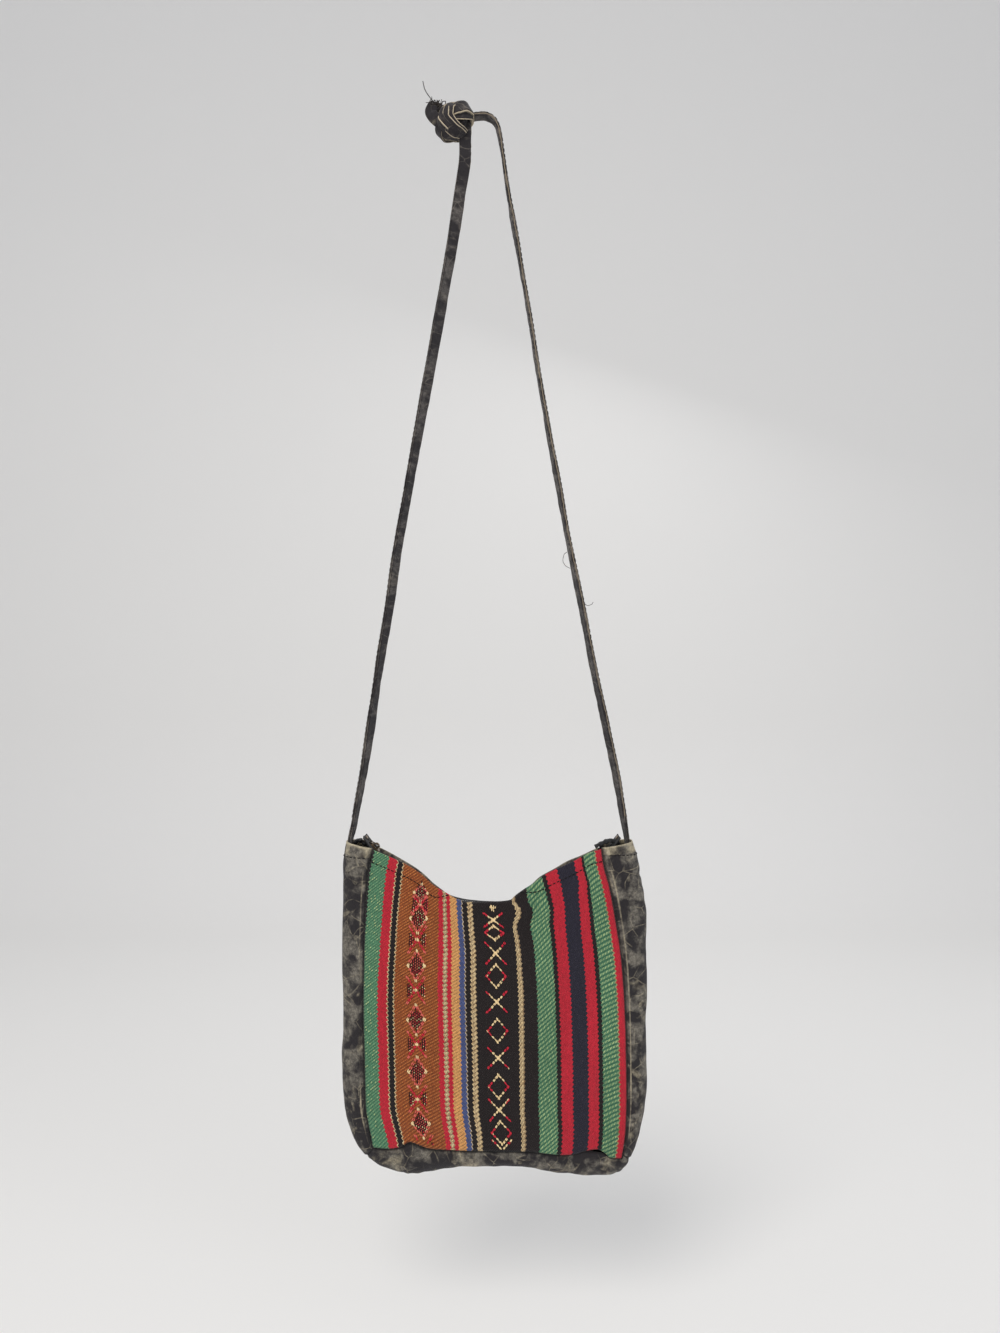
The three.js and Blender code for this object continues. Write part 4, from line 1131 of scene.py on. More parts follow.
class PURSE_OT_front(bpy.types.Operator):
    """Build the striped woven front, its brocade motifs and its hem stitching"""

    bl_idname = "purse.front"
    bl_label = "Woven front"

    def execute(self, context):
        settings = context.scene.purse.woven
        panel = Panel(-1)
        step = settings.grain / MM
        points, s, t, edge = panel.grid(int(192 / step), int(236 / step))
        pile = Pile()
        # the seam value paints shade into the groove along the front's seams
        sheet_shell(pile, points, settings.thickness, -1, cloth_u=s / 100, cloth_v=t / 100, seam=seam_groove_shade(edge))
        front = pile.make("woven_front", woven_stripes_material(settings))
        own(front, "bag", "woven_front", "front_panel")

        chance = np.random.RandomState(5)
        groups = {"cream": ([], []), "red": ([], []), "pink": ([], []), "maroon": ([], [])}

        def lay(name, s, d, ls, ld, half):
            c, down = front_share(panel, s, d)
            if down < 2.2 or d > BASE_SEAM(s - 97) - 3:
                return
            here, right, below, out = raised_points(panel, c, down, 0.00025)
            way = unit(right * ls + below * ld) * half * MM
            groups[name][0].append(here)
            groups[name][1].append(way)

        for middles, kind in ((BLACK_DIAMONDS, "diamond"), (BLACK_CROSSES, "cross")):
            for d in middles:
                size = (7.4, 8.6) if kind == "diamond" else (7.6, 7.8)
                if d < HIGH_MOTIFS:
                    size = (7.0, 5.0)
                for across, along_it, ls, ld, half, red in motif_strokes(kind, *size):
                    for twin in (-0.34, 0.34):
                        jog = chance.uniform(-0.2, 0.2, 2)
                        name = "red" if red > 0.5 and chance.rand() < 0.9 else "cream"
                        lay(name, BLACK_BAND + across + jog[0] + twin, d + along_it + jog[1] + twin * 0.5, ls * 0.6, ld,
                                half + chance.uniform(-0.25, 0.15))
        for _ in range(12):
            lay("cream", BLACK_BAND + chance.uniform(-2.4, 2.4), 48 + chance.uniform(-1.8, 2.2), chance.uniform(-0.6, 0.6),
                    1, 1.0)
        for middles, kind in ((BROWN_DIAMONDS, "diamond"), (BROWN_CROSSES, "cross")):
            for d in middles:
                size = (6.6, 11.0) if kind == "diamond" else (6.6, 9.8)
                if d < HIGHEST_MOTIFS:
                    size = (6.0, 6.0)
                for across, along_it, ls, ld, half, red in motif_strokes(kind, *size):
                    for twin in (-0.5, 0.5):
                        jog = chance.uniform(-0.25, 0.25, 2)
                        name = "cream" if red == 0 else ("red" if kind == "cross" and red < 0.8 else "pink")
                        if kind == "diamond" and red > 0.9:
                            name = "cream"
                        lay(name, BROWN_BAND + across + jog[0] + twin, d + along_it + jog[1] + twin * 0.5, ls * 0.55, ld,
                                half + 0.15)
                # the checkered filling inside the diamonds and beside the crosses
                for i in range(-4, 5):
                    for j in range(-4, 5):
                        across, along_it = i * 1.45, j * 2.0 + (i % 2) * 1.0
                        inside = abs(across) / 5.4 + abs(along_it) / 9.2 < 1
                        beside = abs(across) > 2.6 and abs(along_it) < abs(across) * 1.1 - 1.2 and abs(across) < 7
                        if inside if kind == "diamond" else beside:
                            lay("maroon", BROWN_BAND + across, d + along_it, 0.25, 1, 1.1)
                            pale = chance.rand()
                            lay("pink" if pale < 0.45 else ("red" if pale < 0.75 else "cream"), BROWN_BAND + across + 0.72,
                                    d + along_it + 0.6, 0.7, 1, 0.62)
        tints = {"cream": paint(240, 214, 164), "red": paint(200, 44, 62), "pink": paint(214, 104, 92),
                "maroon": paint(52, 22, 24)}
        for name, (at, way) in groups.items():
            thick = {"maroon": 0.00068, "pink": 0.00058, "red": 0.00054, "cream": 0.0005}[name]
            piece = grown(f"motif_{name}", "floats", points=(at, way), Thickness=thick, Unevenness=0.25, Seed=4,
                          Material=thread_material(f"brocade_{name}", tints[name], 0.2, 0.8))
            own(piece, "bag", "woven_front")

        # hem stitching, which runs off over the lip where that rolls inward
        c = np.linspace(0.012, 0.988, 420)
        x = panel.fall(c)[0]
        row = panel.hem_row(x)
        lines, held = [], []
        for k in range(len(c)):
            if row[k] > 0.9:
                held.append(raised_points(panel, c[k], row[k], 0.0)[0])
            elif held:
                lines.append(held)
                held = []
        lines.append(held)
        black = thread_material("black_thread", paint(16, 13, 14), 0.3)
        own(grown("front_hem_stitches", "beads", lines=lines, Pitch=0.0031, Bead=(0.0014, 0.00052, 0.00048), Sides=8,
                Material=black), "bag", "woven_front")
        return {"FINISHED"}


# ---------- the gusset ----------


def gusset_lines():
    pairs = np.array(SEAM_AND_FOLD, float)
    places = np.arange(len(pairs))
    return [smooth_line(list(zip(places, pairs[:, k, j]))) for k in (0, 1) for j in (0, 1)]


GUSSET_LINES = gusset_lines()


def gusset_points(a, theta, crumple, lift=0.0):
    """Points of the gusset at places `a` along it and angles `theta` from the front seam to the back one."""
    seam_x, seam_d, fold_x, fold_d = (line(a) for line in GUSSET_LINES)
    power = 2 / 2.7
    across = -np.sign(np.cos(theta)) * np.abs(np.cos(theta)) ** power
    out = np.abs(np.sin(theta)) ** power
    x = seam_x + (fold_x - seam_x) * out
    d = seam_d + (fold_d - seam_d) * out
    y = across * HALF_DEPTH
    away = np.stack([fold_x - seam_x, fold_d - seam_d], -1)
    length = np.linalg.norm(away, axis=-1)
    away = away / length[..., None]
    # crumples fade out at the two seams
    calm = step_up(0, 0.35, theta) * step_up(0, 0.35, math.pi - theta)
    run = a * 19.0
    girth = theta * 14.0
    bump = hills(run, girth, 24, 3) * 1.0 + hills(run * 1.3, girth * 0.7, 11, 4) * 0.55 + hills(run, girth, 5,
            5) * 0.22
    bump = bump * crumple * calm
    # pulled in where the side and bottom gussets are sewn together
    for mitre in (LEFT_MITRE, RIGHT_MITRE):
        bump = bump - 1.6 * np.exp(-(((a - mitre) / 0.13) ** 2)) * calm
    # both seams turn inward
    tuck = np.exp(-((theta / 0.055) ** 2)) + np.exp(-(((math.pi - theta) / 0.055) ** 2))
    face = np.abs(np.cos(theta)) ** 1.3
    x = x + away[..., 0] * (bump * (1 - face) + lift)
    d = d + away[..., 1] * (bump * (1 - face) + lift)
    y = y + np.sign(across) * (bump * face * 0.9 - tuck * 1.9 + lift * face)
    return np.stack([MIDDLE_X + x * MM, y * MM, RIM_Z - d * MM], -1), tuck


class PURSE_OT_gusset(bpy.types.Operator):
    """Build the crumpled gusset: two sides and the bottom, with its seams"""

    bl_idname = "purse.gusset"
    bl_label = "Gusset"

    def execute(self, context):
        settings = context.scene.purse.cotton
        crumple = settings.crumple / MM
        last = len(SEAM_AND_FOLD) - 1
        seam_gap = 0.012  # between the gusset's parts, in places along it
        cloth = cotton_material("washed_cotton", settings, 0.0155, 0.4, 0.0)
        theta = np.linspace(0, math.pi, 64)[None, :]
        parts = (
            ("gusset_side_left", 0, LEFT_MITRE - seam_gap, 190, "gusset_left", (0.046, 0.235)),
            ("gusset_base", LEFT_MITRE + seam_gap, RIGHT_MITRE - seam_gap, 170, "gusset_bottom", (0.046, 0.2)),
            ("gusset_side_right", RIGHT_MITRE + seam_gap, last, 190, "gusset_right", (0.046, 0.235)),
        )
        for name, start, end, rows, node, flat in parts:
            a = np.linspace(start, end, rows)[:, None] + 0 * theta
            points, tuck = gusset_points(a, theta + 0 * a, crumple)
            near_top = np.minimum(np.abs(a - 0), np.abs(a - last))
            mitre = np.minimum(np.abs(a - LEFT_MITRE), np.abs(a - RIGHT_MITRE))
            from_seam = np.minimum(theta, math.pi - theta)
            wear = 0.62 * np.exp(-(((from_seam - 0.1) / 0.035) ** 2)) * (0.75 + 0.5 * hills(a * 19, 0 * a, 14, 31))
            hem = step_up(0.46, 0.4, near_top) if name != "gusset_base" else 0 * a
            wear = wear * (1.0 if name != "gusset_base" else 0.4) + 0.5 * np.exp(-((near_top / 0.06) ** 2))
            wear = wear + hem * (0.44 + 0.4 * hills(a * 19, theta * 14, 6, 33))
            pile = Pile()
            # the seam value paints shade into the tucks at both seams and the crease where the side and bottom gussets
            # meet
            sheet_shell(pile, points, settings.thickness, 1 if self.turned(points) else -1, wear=wear,
                    seam=np.exp(-((from_seam / 0.03) ** 2)) + np.exp(-((mitre / 0.05) ** 2)))
            piece = pile.make(name, cloth)
            own(piece, "bag", "worn_cotton", node)
        # hem stitching round the top of each side
        lines = []
        for top, sign in ((0.0, 1), (last, -1)):
            angles = np.linspace(0.14, math.pi - 0.14, 90)
            place = top + sign * (0.43 + 0.08 * np.sin(angles))
            lines.append(gusset_points(place + 0 * angles, angles, crumple, 0.12)[0])
        black = thread_material("gusset_thread", paint(28, 24, 26), 0.3)
        own(grown("gusset_hem_stitches", "beads", lines=lines, Pitch=0.0032, Bead=(0.0013, 0.0004, 0.0004), Sides=8,
                Material=black), "bag", "worn_cotton")
        return {"FINISHED"}

    @staticmethod
    def turned(points):
        """True if the grid's own normals point into the bag."""
        rows, columns = points.shape[:2]
        r, c = rows // 2, columns // 2
        normal = np.cross(points[r + 1, c] - points[r - 1, c], points[r, c + 1] - points[r, c - 1])
        inside = np.array([MIDDLE_X, 0, RIM_Z - 0.11]) - points[r, c]
        return float(normal @ inside) > 0


# ---------- the back and the lining ----------


class PURSE_OT_back(bpy.types.Operator):
    """Build the plain cotton back and the lining"""

    bl_idname = "purse.back"
    bl_label = "Back and lining"

    def execute(self, context):
        settings = context.scene.purse.cotton
        panel = Panel(1)
        points, s, t, edge = panel.grid(112, 132)
        wear = 0.6 * np.exp(-((t / 1.6) ** 2)) + 0.5 * np.exp(-(((edge - 2.8) / 1.2) ** 2))
        pile = Pile()
        # the seam value paints shade into the groove along the back's seams
        sheet_shell(pile, points, settings.thickness, 1, wear=wear, seam=seam_groove_shade(edge))
        back = pile.make("cotton_back", cotton_material("washed_cotton_back", settings, 0.02, 0.46, 3.7))
        own(back, "bag", "worn_cotton", "back_panel")
        c = np.linspace(0.012, 0.988, 420)
        row = np.maximum(panel.hem_row(panel.fall(c)[0]), 3.5)
        line = raised_points(panel, c, row, 0.00012)[0]
        own(grown("back_hem_stitches", "beads", lines=[line], Pitch=0.0031, Bead=(0.0013, 0.0004, 0.0004), Sides=8,
                  Material=thread_material("back_thread", paint(28, 24, 26), 0.3)), "bag", "worn_cotton")

        cloth = tape_material("lining_cloth", paint(52, 52, 58), 0.7)
        for name, side, node in (("lining_cloth_front", -1, "lining_front"), ("lining_cloth_back", 1, "lining_back")):
            wall = Panel(side)
            c = np.linspace(0.03, 0.97, 70)[None, :]
            share = np.linspace(0, 1, 80)[:, None]
            start = 12.0 + 3.0 * rolled(wall.fall(c)[0])
            down = start + share * (wall.height(c) - 6 - start)
            face, _, edge = wall.point(np.broadcast_to(c, down.shape), down)
            face = face.copy()
            gather = 0.5 * hills(face[..., 0] / MM, face[..., 2] / MM * 0.3, 7, 21 + side)
            face[..., 1] -= side * (1.9 + gather * 0.6 + 0.5) * MM
            pile = Pile()
            sheet_shell(pile, face, 0.00035, side)
            lining = pile.make(name, cloth)
            own(lining, "bag", "lining", node)
        return {"FINISHED"}


# ---------- the zip ----------


def zip_points(angle, y, rise=0.0):
    """Points on the zip's arc at an angle from its lowest place; `rise` is towards the arc's centre."""
    angle, y, rise = np.broadcast_arrays(np.asarray(angle, float), y, rise)
    radius = ZIP_RADIUS - rise
    return np.stack([MIDDLE_X + radius * np.sin(angle), y, ZIP_CENTRE_Z - radius * np.cos(angle)], -1)


class PURSE_OT_zip(bpy.types.Operator):
    """Build the zip: tapes, coil teeth, loose tape ends, and the metal's finish"""

    bl_idname = "purse.zip"
    bl_label = "Zip"

    def execute(self, context):
        settings = context.scene.purse.zip
        end = math.asin(ZIP_HALF_SPAN / ZIP_RADIUS)
        cloth = tape_material("zip_tape_weave", (0.011, 0.011, 0.012), 0.65)
        nylon = coil_material()
        for name, side in (("front", -1), ("back", 1)):
            angle = np.linspace(-end, end, 150)
            x = ZIP_RADIUS * np.sin(angle) / MM
            reach = 10.1 - 6.0 * rolled(x)
            room = np.minimum(reach, 11.0 * np.clip(1 - np.maximum(0, np.abs(x) - 88) / 18, 0, 1) ** 0.3)
            share = np.linspace(0, 1, 7)[None, :]
            y = side * (1.6 + (room[:, None] - 1.6) * share) * MM
            wave = 0.25 * hills(x[:, None] + 0 * share, share * 9 + 0 * x[:, None], 9, 8) * share
            points = zip_points(angle[:, None], y, (0.25 + wave) * MM)
            pile = Pile()
            sheet_shell(pile, points, 0.0006, side)
            own(pile.make(f"tape_{name}", cloth), "bag", "zip_tape", f"zip_tape_{name}")
            start = -end + (0.5 if side > 0 else 0) * settings.tooth_pitch / ZIP_RADIUS
            run = np.linspace(start, end - 0.02, 400)
            teeth = grown(f"coil_{name}", "beads", lines=[zip_points(run, side * 0.00125)],
                    Pitch=settings.tooth_pitch,
                          Bead=(0.00052, 0.0011, 0.00085), Sides=8, Material=nylon)
            own(teeth, "bag", "zip_coil", f"zip_coil_{name}")
        # the tape's loose end, which lies crumpled along the gusset's top edge at each end of the zip
        pile = Pile()
        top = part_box("gusset_left")[1].z
        for sign, inner, outer, low in ((-1, 0.0975, 0.1045, 0.0016), (1, 0.0835, 0.097, 0.0018)):
            path = [(MIDDLE_X + sign * (inner - 0.005), 0, top - 0.0062),
                    (MIDDLE_X + sign * inner, 0, top - 0.0018 - low),
                    (MIDDLE_X + sign * (inner * 0.5 + outer * 0.5), 0.0005, top + 0.0003 - low),
                    (MIDDLE_X + sign * (outer - 0.0015), 0.001, top - low),
                    (MIDDLE_X + sign * outer, 0.001, top - 0.0042)]
            centre = curve_through(path, 0.0004)
            n = len(centre)
            across = np.tile([0.0, 1.0, 0.0], (n, 1))
            up = unit(np.cross(along(centre), across))
            turn = np.linspace(0, 2 * math.pi, 24, endpoint=False)
            ridges = 1 + 0.16 * np.cos(turn * 3 + 0.6)
            section = np.stack([np.cos(turn) * 4.6 * ridges, np.sin(turn) * 1.3 * ridges], 1) * MM
            lumps = 1 + 0.16 * np.sin(np.arange(n) * 0.62) + 0.2 * hills(np.arange(n), sign * 7.0, 5, 9)
            sweep(pile, centre, across, up, section, lumps)
        own(pile.make("zip_ends", cloth), "bag", "zip_tape")
        metal = metal_material(settings)
        # the pull: a bent loop of wire through the slider's eye, leaning over the closed end
        eye = np.array(HINGES["pull_turn"]["pos_m"])
        half = 0.003
        side_view = curve_through([(0.0008, -0.0003), (-0.0020, 0.0012), (-0.0050, 0.0027), (-0.0085, 0.0036)],
                0.0003)
        turn = np.linspace(0, math.pi, 14)
        legs = [np.array([eye[0] + x, -half, eye[2] + z]) for x, z in side_view]
        tip = legs[-1]
        bow = [tip + np.array([-0.0018 * math.sin(a), half - half * math.cos(a), 0.0001]) for a in turn]
        back = [p * [1, -1, 1] for p in reversed(legs)]
        root = [back[-1] + np.array([0.0012 * math.sin(a), -half + half * math.cos(a),
                -0.0006 * math.sin(a)]) for a in turn[1:-1]]
        loop = np.array(legs + bow[1:] + back[1:] + root)
        pile = Pile()
        ring = np.linspace(0, 2 * math.pi, 10, endpoint=False)
        ahead = unit(np.roll(loop, -1, axis=0) - np.roll(loop, 1, axis=0))
        out = unit(np.cross(ahead, unit(loop - loop.mean(0))))
        rim = np.cross(out, ahead)
        wire = loop[:, None, :] + 0.00055 * (np.cos(ring)[None, :, None] * out[:, None, :] + np.sin(ring)[None, :,
                None] * rim[:, None, :])
        n, m = wire.shape[:2]
        faces = [(i * m + j, i * m + (j + 1) % m, (i + 1) % n * m + (j + 1) % m,
                (i + 1) % n * m + j) for i in range(n) for j in range(m)]
        pile.add(wire, faces)
        own(pile.make("zip_pull_wire", metal), "pull", "zip_metal", "zip_pull")
        for node in ("zip_slider", "zip_stop_left", "zip_stop_right"):
            mesh = frame["nodes"][node]
            if not mesh.material_slots:
                mesh.data.materials.append(metal)
            for place in mesh.material_slots:
                place.material = metal
        return {"FINISHED"}


# ---------- the strap ----------

# Outline of the folded strap, as shares of half its width and half its thickness. Its open edge is on the left.
STRAP_SECTION = [(-0.78, 0.0), (-0.9, 0.12), (-0.98, 0.3), (-1.0, 0.58), (-0.95, 0.86), (-0.84, 1.0), (-0.6, 0.98),
        (-0.3, 0.9), (0, 0.88),
                 (0.3, 0.9), (0.6, 0.96), (0.82, 0.98), (0.94, 0.76), (1.0, 0.36), (1.0, -0.36), (0.94, -0.76),
                 (0.82, -0.98), (0.6, -0.96),
                 (0.3, -0.9), (0, -0.88), (-0.3, -0.9), (-0.6, -0.98), (-0.84, -1.0), (-0.95, -0.86), (-1.0, -0.58),
                 (-0.98, -0.3), (-0.9, -0.12)]


def strap_frames(centre, twist, plane=(0.0, 1.0, 0.0)):
    """Directions across and up a strap that turns by `twist` radians from lying edge-on."""
    ahead = along(centre)
    flat = unit(np.asarray(plane) - ahead * (ahead @ np.asarray(plane))[:, None])
    other = np.cross(ahead, flat)
    cos, sin = np.cos(twist)[:, None], np.sin(twist)[:, None]
    return flat * cos + other * sin, other * cos - flat * sin


def lay_strap(pile, centre, twist, settings, seed, width=None, rough=1.0, plane=(0.0, 1.0, 0.0)):
    """A length of folded, puckered strap, and its two edge lines."""
    n = len(centre)
    run = np.concatenate([[0], np.cumsum(np.linalg.norm(np.diff(centre, axis=0), axis=1))]) / MM
    across, up = strap_frames(centre, twist, plane)
    half = (settings.width if width is None else width) / 2 * (1 + 0.05 * hills(run, 0, 17, seed) * rough)
    thick = settings.thickness / 2
    section = np.array(STRAP_SECTION)
    pucker = 1 + 0.12 * rough * hills(run[:, None], section[None, :, 0] * 3 + section[None, :, 1] * 2, 3.1, seed + 1)
    pucker = pucker + 0.16 * rough * hills(run[:, None], section[None, :, 0] * 2 + section[None, :, 1], 9, seed + 2)
    offsets = across[:, None, :] * (section[None, :, :1] * np.broadcast_to(half, n)[:, None, None])
    offsets = offsets + up[:, None, :] * (section[None, :, 1:] * thick * pucker[..., None])
    rings = centre[:, None, :] + offsets
    wear = np.clip((np.abs(section[:, 0]) - 0.93) / 0.06, 0, 1)[None, :] * (0.4 + 0.4 * hills(run, 5, 6, seed + 3))[:,
            None]
    # painted shade inside the strap's open fold along its left edge
    open_fold_shade = np.clip((0.3 - np.abs(section[:, 1])) / 0.3, 0, 1) * (section[:, 0] < -0.7)
    seam = np.broadcast_to(open_fold_shade[None, :], rings.shape[:2])
    pile.add(*closed_rings(rings), wear=np.append(np.ravel(wear), [1, 1]), seam=np.append(np.ravel(seam), [0, 0]))
    left = centre - across * np.broadcast_to(half, n)[:, None] * 0.98
    right = centre + across * np.broadcast_to(half, n)[:, None] * 0.98
    return left, right, up


class PURSE_OT_strap(bpy.types.Operator):
    """Build the two legs of the strap, which run from the knot into the bag's gusset"""

    bl_idname = "purse.strap"
    bl_label = "Strap"

    def execute(self, context):
        settings = context.scene.purse.strap
        cloth = cotton_material("washed_strap", context.scene.purse.cotton, 0.0105, 0.4, 9.1, (0.5, 0.5, 1.0), 0.6,
                paint(104, 99, 95), paint(136, 128, 118))
        foot = {side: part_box(f"strap_end_{name}") for side, name in ((-1, "left"), (1, "right"))}
        base = {side: ((foot[side][0].x + foot[side][1].x) / 2, foot[side][0].z) for side in foot}
        left = [(-0.0145, 0.004), (-0.0145, -0.009), (-0.0145, -0.026), (-0.019, -0.062), (-0.033, -0.146),
                (-0.054, -0.261), (-0.0765, -0.398), (-0.0988, -0.537),
                (base[-1][0] - 0.0042, FOLD_Z - 0.006), (base[-1][0] - 0.0052, FOLD_Z - 0.014),
                (base[-1][0] - 0.0056, base[-1][1])]
        right = [(-0.014, -0.0004), (-0.008, 0.0008), (0, 0.0015), (0.007, -0.0016), (0.011, -0.009),
                (0.0134, -0.021), (0.0195, -0.06), (0.036, -0.16), (0.061, -0.306),
                 (0.0795, -0.398), (0.1068, -0.537), (base[1][0], FOLD_Z - 0.012), (base[1][0] + 0.0006, base[1][1])]
        stitches = []
        threads = []
        for name, route, turn, seed, nodes in (
            ("left", left, smooth_line([(0.02, 82), (-0.05, 74), (-0.12, 48), (-0.3, 36), (-0.45, 26), (-0.53, 14),
            (-0.56, 0)]), 60, ("strap_left", "strap_end_left")),
            ("right", right, smooth_line([(0.02, 0), (-0.05, -4), (-0.2, -9), (-0.35, -14), (-0.48, -20),
            (-0.53, -16), (-0.56, 0)]), 80, ("strap_right", "strap_end_right")),
        ):
            path = np.array([(x, 0.0, z) for x, z in route])
            centre = curve_through(path, 0.0016)
            z = centre[:, 2]
            calm = step_up(-0.53, -0.5, z) * step_up(0.0, -0.04, z)
            centre[:, 0] += 0.0007 * hills(z / MM, 0, 45, seed + 5) * calm
            centre[:, 1] += 0.0012 * hills(z / MM, 9, 60, seed + 6) * calm
            twist = np.radians(turn(z) + 9 * hills(z / MM, 3, 38, seed + 7) * calm)
            pile = Pile()
            one, two, up = lay_strap(pile, centre, twist, settings, seed)
            leg = pile.make(f"strap_leg_{name}", cloth)
            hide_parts(*nodes)
            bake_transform(leg, "strap", "bag", start=(0, 0, FOLD_Z + 0.009), end=(0, 0, FOLD_Z - 0.009))
            above = z > FOLD_Z + 0.012
            stitches.append((one * 0.9 + centre * 0.1 + up * settings.thickness * 0.47)[above])
            stitches.append((one * 0.9 + centre * 0.1 - up * settings.thickness * 0.47)[above])
            ragged = 0.00025 * np.stack([hills(z / MM, k, 2.6, seed + 8) for k in (1, 2, 3)], 1)
            threads.append((two + ragged)[above])
            if name == "right":
                threads.append((one + ragged)[above])
        pale = thread_material("strap_edge_thread", paint(150, 136, 116), 0.5)
        own(grown("strap_stitches", "beads", lines=stitches, Pitch=settings.stitch_pitch,
                Bead=(0.0015, 0.00026, 0.00026), Sides=6,
                  Material=thread_material("strap_thread", paint(34, 30, 30), 0.3)), "strap", "worn_cotton")
        own(grown("strap_worn_edges", "threads", lines=threads, Radius=0.00028, Sides=6, Material=pale), "strap",
                "worn_cotton")
        # two pulled threads on the right leg
        loop = curve_through([(0.0633, -0.002, -0.331), (0.0607, -0.005, -0.3335), (0.0598, -0.006, -0.338),
                (0.0622, -0.004, -0.342), (0.0655, -0.002, -0.3435)], 0.0006)
        whisker = curve_through([(0.0752, -0.002, -0.3685), (0.0785, -0.005, -0.372), (0.0815, -0.007, -0.3712),
                (0.0826, -0.007, -0.3695)], 0.0006)
        own(grown("pulled_threads", "threads", lines=[loop, whisker], Radius=0.0002, Sides=6,
                  Material=thread_material("pulled_thread", paint(60, 54, 50), 0.4)), "strap", "worn_cotton")
        return {"FINISHED"}


# ---------- the knot ----------


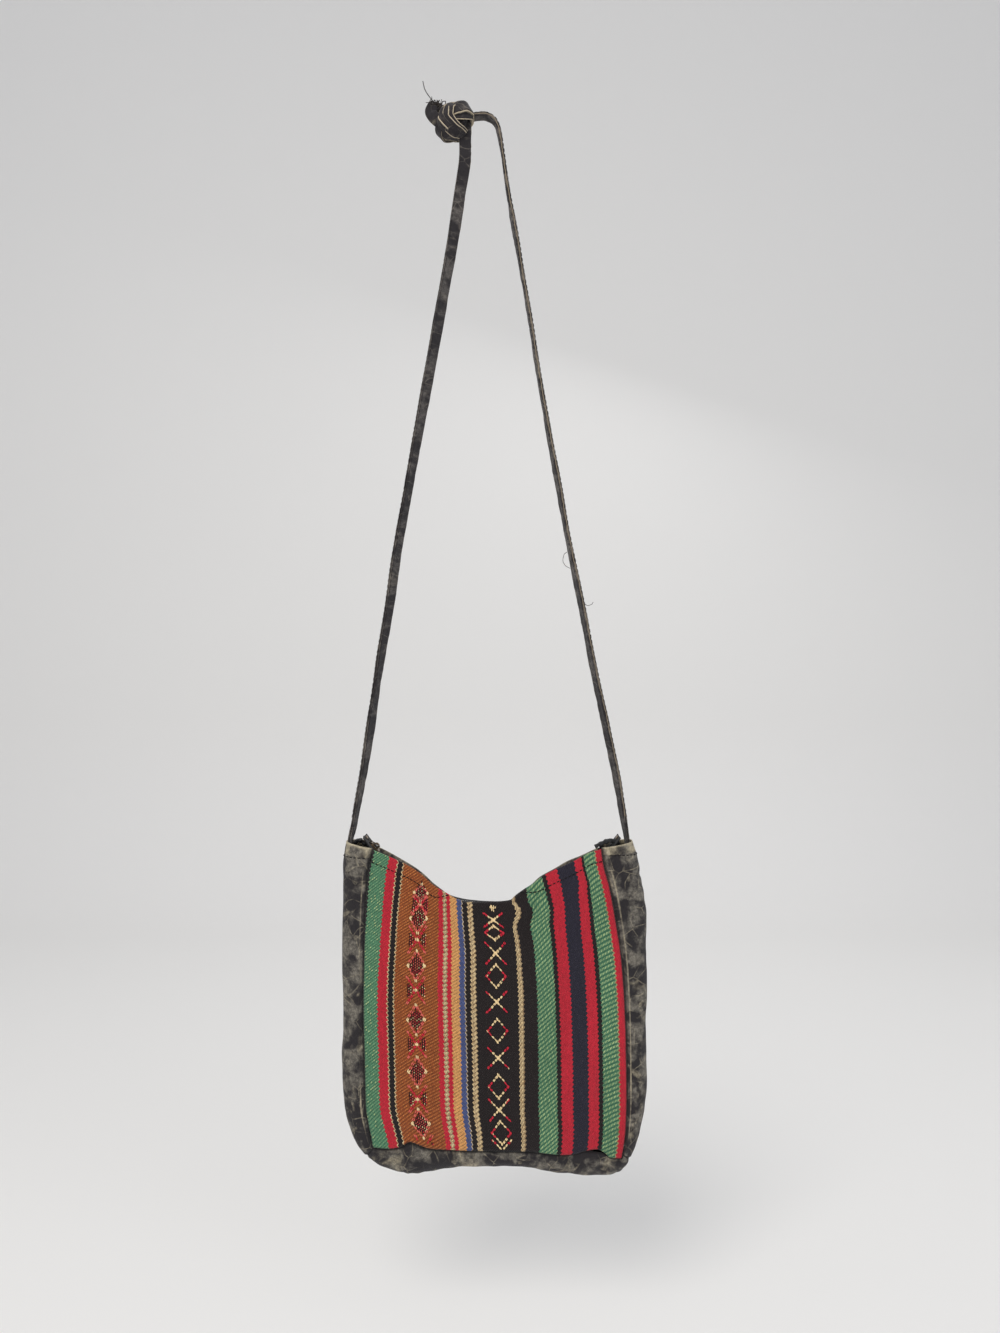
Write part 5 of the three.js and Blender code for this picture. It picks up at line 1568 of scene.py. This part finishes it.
class PURSE_OT_knot(bpy.types.Operator):
    """Build the overhand knot that ties the strap's two ends, and its frayed tails"""

    bl_idname = "purse.knot"
    bl_label = "Knot"

    def execute(self, context):
        settings = context.scene.purse.strap
        cloth = cotton_material("washed_knot", context.scene.purse.cotton, 0.009, 0.2, 5.3, (0.8, 0.8, 0.8), 0.6,
                paint(92, 86, 82), paint(150, 140, 122))
        low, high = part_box("strap_knot")
        heart = np.array((low + high) / 2)
        heart[2] -= 0.0012
        snug = np.array([0.93, 0.9, 0.84])

        def at(*points):
            return [heart + np.array(p) * snug * MM for p in points]

        # turns of the strap round the knot, as points from its middle in millimetres
        turns = (
            (at((-3, -6, 12), (-7, -9.5, 6), (-7.5, -11, -1), (-4, -11, -8), (3, -8, -13), (8, -2, -13)), 100, 9.5),
            (at((2, -7, 12.5), (-3, -11.5, 7), (-4, -12.5, 0), (-1, -11.5, -7), (5, -8, -11.5), (9, 0, -10)), 100, 8),
            (at((-3, -9.5, 3), (3, -11.5, 6), (9, -10, 8.5), (13, -4, 9), (13.5, 3, 6), (9, 9, 2)), 95, 11),
            (at((-4, -10, 0), (3, -11, 0.2), (9.5, -9.5, 1.5), (14, -3, 4), (13.5, 4, 3), (8, 9, -1)), 90, 7),
            (at((9, 2, 8), (6, 0, 12), (0, -2, 13.5), (-6, -1, 12), (-9, 3, 7), (-8, 8, 1)), 90, 10),
            (at((-11, -4, 4), (-13, -5, -2), (-10.5, -6, -8), (-4, -4, -13), (4, 2, -13.5)), 100, 10),
            (at((-8, -7, -3), (-12, -2, -9), (-10, 5, -11), (-3, 9, -9), (5, 9.5, -4), (9, 7, 3)), 80, 10),
            (at((-10, 2, 8), (-12, 7, 2), (-8, 10, -4), (0, 11, -7), (7, 9, -9), (9, 3, -13)), 90, 9.5),
            (at((9, 5, 9), (3, 10, 8), (-4, 11, 4), (-9, 8, -3)), 90, 10),
        )
        pile, edges = Pile(), []
        for k, (route, lean, width) in enumerate(turns):
            centre = curve_through(route, 0.0007)
            outward = unit(centre - heart)
            ahead = along(centre)
            across = unit(np.cross(ahead, outward))
            up = np.cross(across, ahead)
            n = len(centre)
            section = np.array(STRAP_SECTION) * [width * MM / 2, settings.thickness * 0.55]
            ends = 0.35 + 0.65 * np.sin(np.linspace(0.08, math.pi - 0.08, n)) ** 0.35
            lumps = ends * (1 + 0.06 * hills(np.arange(n), k * 5.0, 6, 70 + k))
            wear = np.clip((np.abs(np.array(STRAP_SECTION)[:, 0]) - 0.93) / 0.06, 0, 1)[None, :] * 0.75
            sweep(pile, centre, across, up, section, lumps, wear=wear)
            for side in (-1, 1):
                if k < 6:
                    edges.append(centre + across * side * (width * MM / 2) * lumps[:, None] + up * 0.0005)
        rows, columns = 26, 34
        polar, round_it = np.meshgrid(np.linspace(0.02, math.pi - 0.02, rows),
                np.linspace(0, 2 * math.pi, columns, endpoint=False), indexing="ij")
        way = np.stack([np.sin(polar) * np.cos(round_it), np.sin(polar) * np.sin(round_it), np.cos(polar)], -1)
        reach = 1 + 0.08 * hills(way[..., 0] * 9, way[..., 2] * 9, 3.0, 91)
        core = heart + way * reach[..., None] * np.array([10.4, 8.2, 9.4]) * MM
        pile.add(*closed_rings(core))
        own(pile.make("knot", cloth), "strap", "worn_cotton", "strap_knot")
        pale = thread_material("knot_edge_thread", paint(188, 174, 150), 0.3)
        own(grown("knot_edges", "threads", lines=edges, Radius=0.00045, Sides=6, Material=pale), "strap",
                "worn_cotton")

        # frayed tails
        tails = (
            ("front", at((-6, -6, -6), (-12, -7, -3), (-17, -7, 2), (-18.5, -6, 6), (-16, -5.5, 12)), 9.0,
            "strap_tail_front"),
            ("back", at((-5, 3, 3), (-9, 1, 7), (-12, 0, 11), (-12.5, 0, 15)), 8.5, "strap_tail_back"),
        )
        fringe, chance = [], np.random.RandomState(12)
        for name, route, width, node in tails:
            centre = curve_through(route, 0.0007)
            n = len(centre)
            twist = np.radians(np.linspace(60, 100, n))
            pile = Pile()
            lay_strap(pile, centre, twist, settings, 33 + n, width * MM, 1.8)
            own(pile.make(f"tail_{name}", cloth), "strap", "worn_cotton", node)
            across, up = strap_frames(centre, twist)
            tip, ahead = centre[-1], along(centre)[-1]
            for _ in range(40):
                start = tip + across[-1] * chance.uniform(-0.5, 0.5) * width * MM * 0.9 + up[-1] * chance.uniform(-1,
                        1) * MM - ahead * 1.5 * MM
                lean = chance.normal(0, 0.5, 3)
                reach = chance.uniform(1.2, 4.0) * MM
                bend = chance.normal(0, 0.35, 3)
                fringe.append(curve_through([start, start + unit(ahead + lean * 0.4) * reach,
                        start + unit(ahead + lean + bend) * reach * 1.7], 0.0004))
        own(grown("tail_fringe", "threads", lines=fringe, Radius=0.00026, Sides=5,
                Material=thread_material("fringe_thread", paint(58, 52, 48), 0.5)), "strap", "worn_cotton")
        tip = heart + np.array([-14, -4, 12]) * MM
        long_thread = curve_through([tip, tip + np.array([-4.5, -1, 5]) * MM, tip + np.array([-8, -1, 11]) * MM,
                tip + np.array([-9.3, 0, 17]) * MM], 0.0006)
        small_loop = curve_through(at((-10, -4, 12), (-9, -5, 16), (-6.5, -5, 16.2), (-6.8, -4, 12)), 0.0004)
        stray = curve_through(at((-17.5, -6, 9), (-19.2, -6, 11.5)), 0.0004)
        own(grown("long_thread", "threads", lines=[long_thread, small_loop, stray], Radius=0.00032, Sides=6,
                  Material=thread_material("dark_thread", paint(46, 42, 42), 0.3)), "strap", "worn_cotton")
        return {"FINISHED"}


# ---------- the panel in the sidebar, and the run ----------

STEPS = (PURSE_OT_stage, PURSE_OT_front, PURSE_OT_gusset, PURSE_OT_back, PURSE_OT_zip, PURSE_OT_strap, PURSE_OT_knot)


class PURSE_PT_parts(bpy.types.Panel):
    bl_idname = "PURSE_PT_parts"
    bl_label = "Hanging woven purse"
    bl_space_type = "VIEW_3D"
    bl_region_type = "UI"
    bl_category = "Purse"

    def draw(self, context):
        settings = context.scene.purse
        for step in STEPS:
            self.layout.operator(step.bl_idname)
        for part in (settings.stage, settings.woven, settings.cotton, settings.zip, settings.strap):
            box = self.layout.box()
            for name in part.bl_rna.properties.keys():
                if name not in ("rna_type", "name"):
                    box.prop(part, name)


CLASSES = (StageSettings, WovenSettings, CottonSettings, ZipSettings, StrapSettings, PurseSettings, *STEPS,
        PURSE_PT_parts)


def register():
    for kind in CLASSES:
        bpy.utils.register_class(kind)
    bpy.types.Scene.purse = PointerProperty(type=PurseSettings)


def unregister():
    del bpy.types.Scene.purse
    for kind in reversed(CLASSES):
        bpy.utils.unregister_class(kind)


def main():
    register()
    bpy.ops.purse.stage()
    bpy.ops.purse.front()
    bpy.ops.purse.gusset()
    bpy.ops.purse.back()
    bpy.ops.purse.zip()
    bpy.ops.purse.strap()
    bpy.ops.purse.knot()


if __name__ == "__main__":
    main()
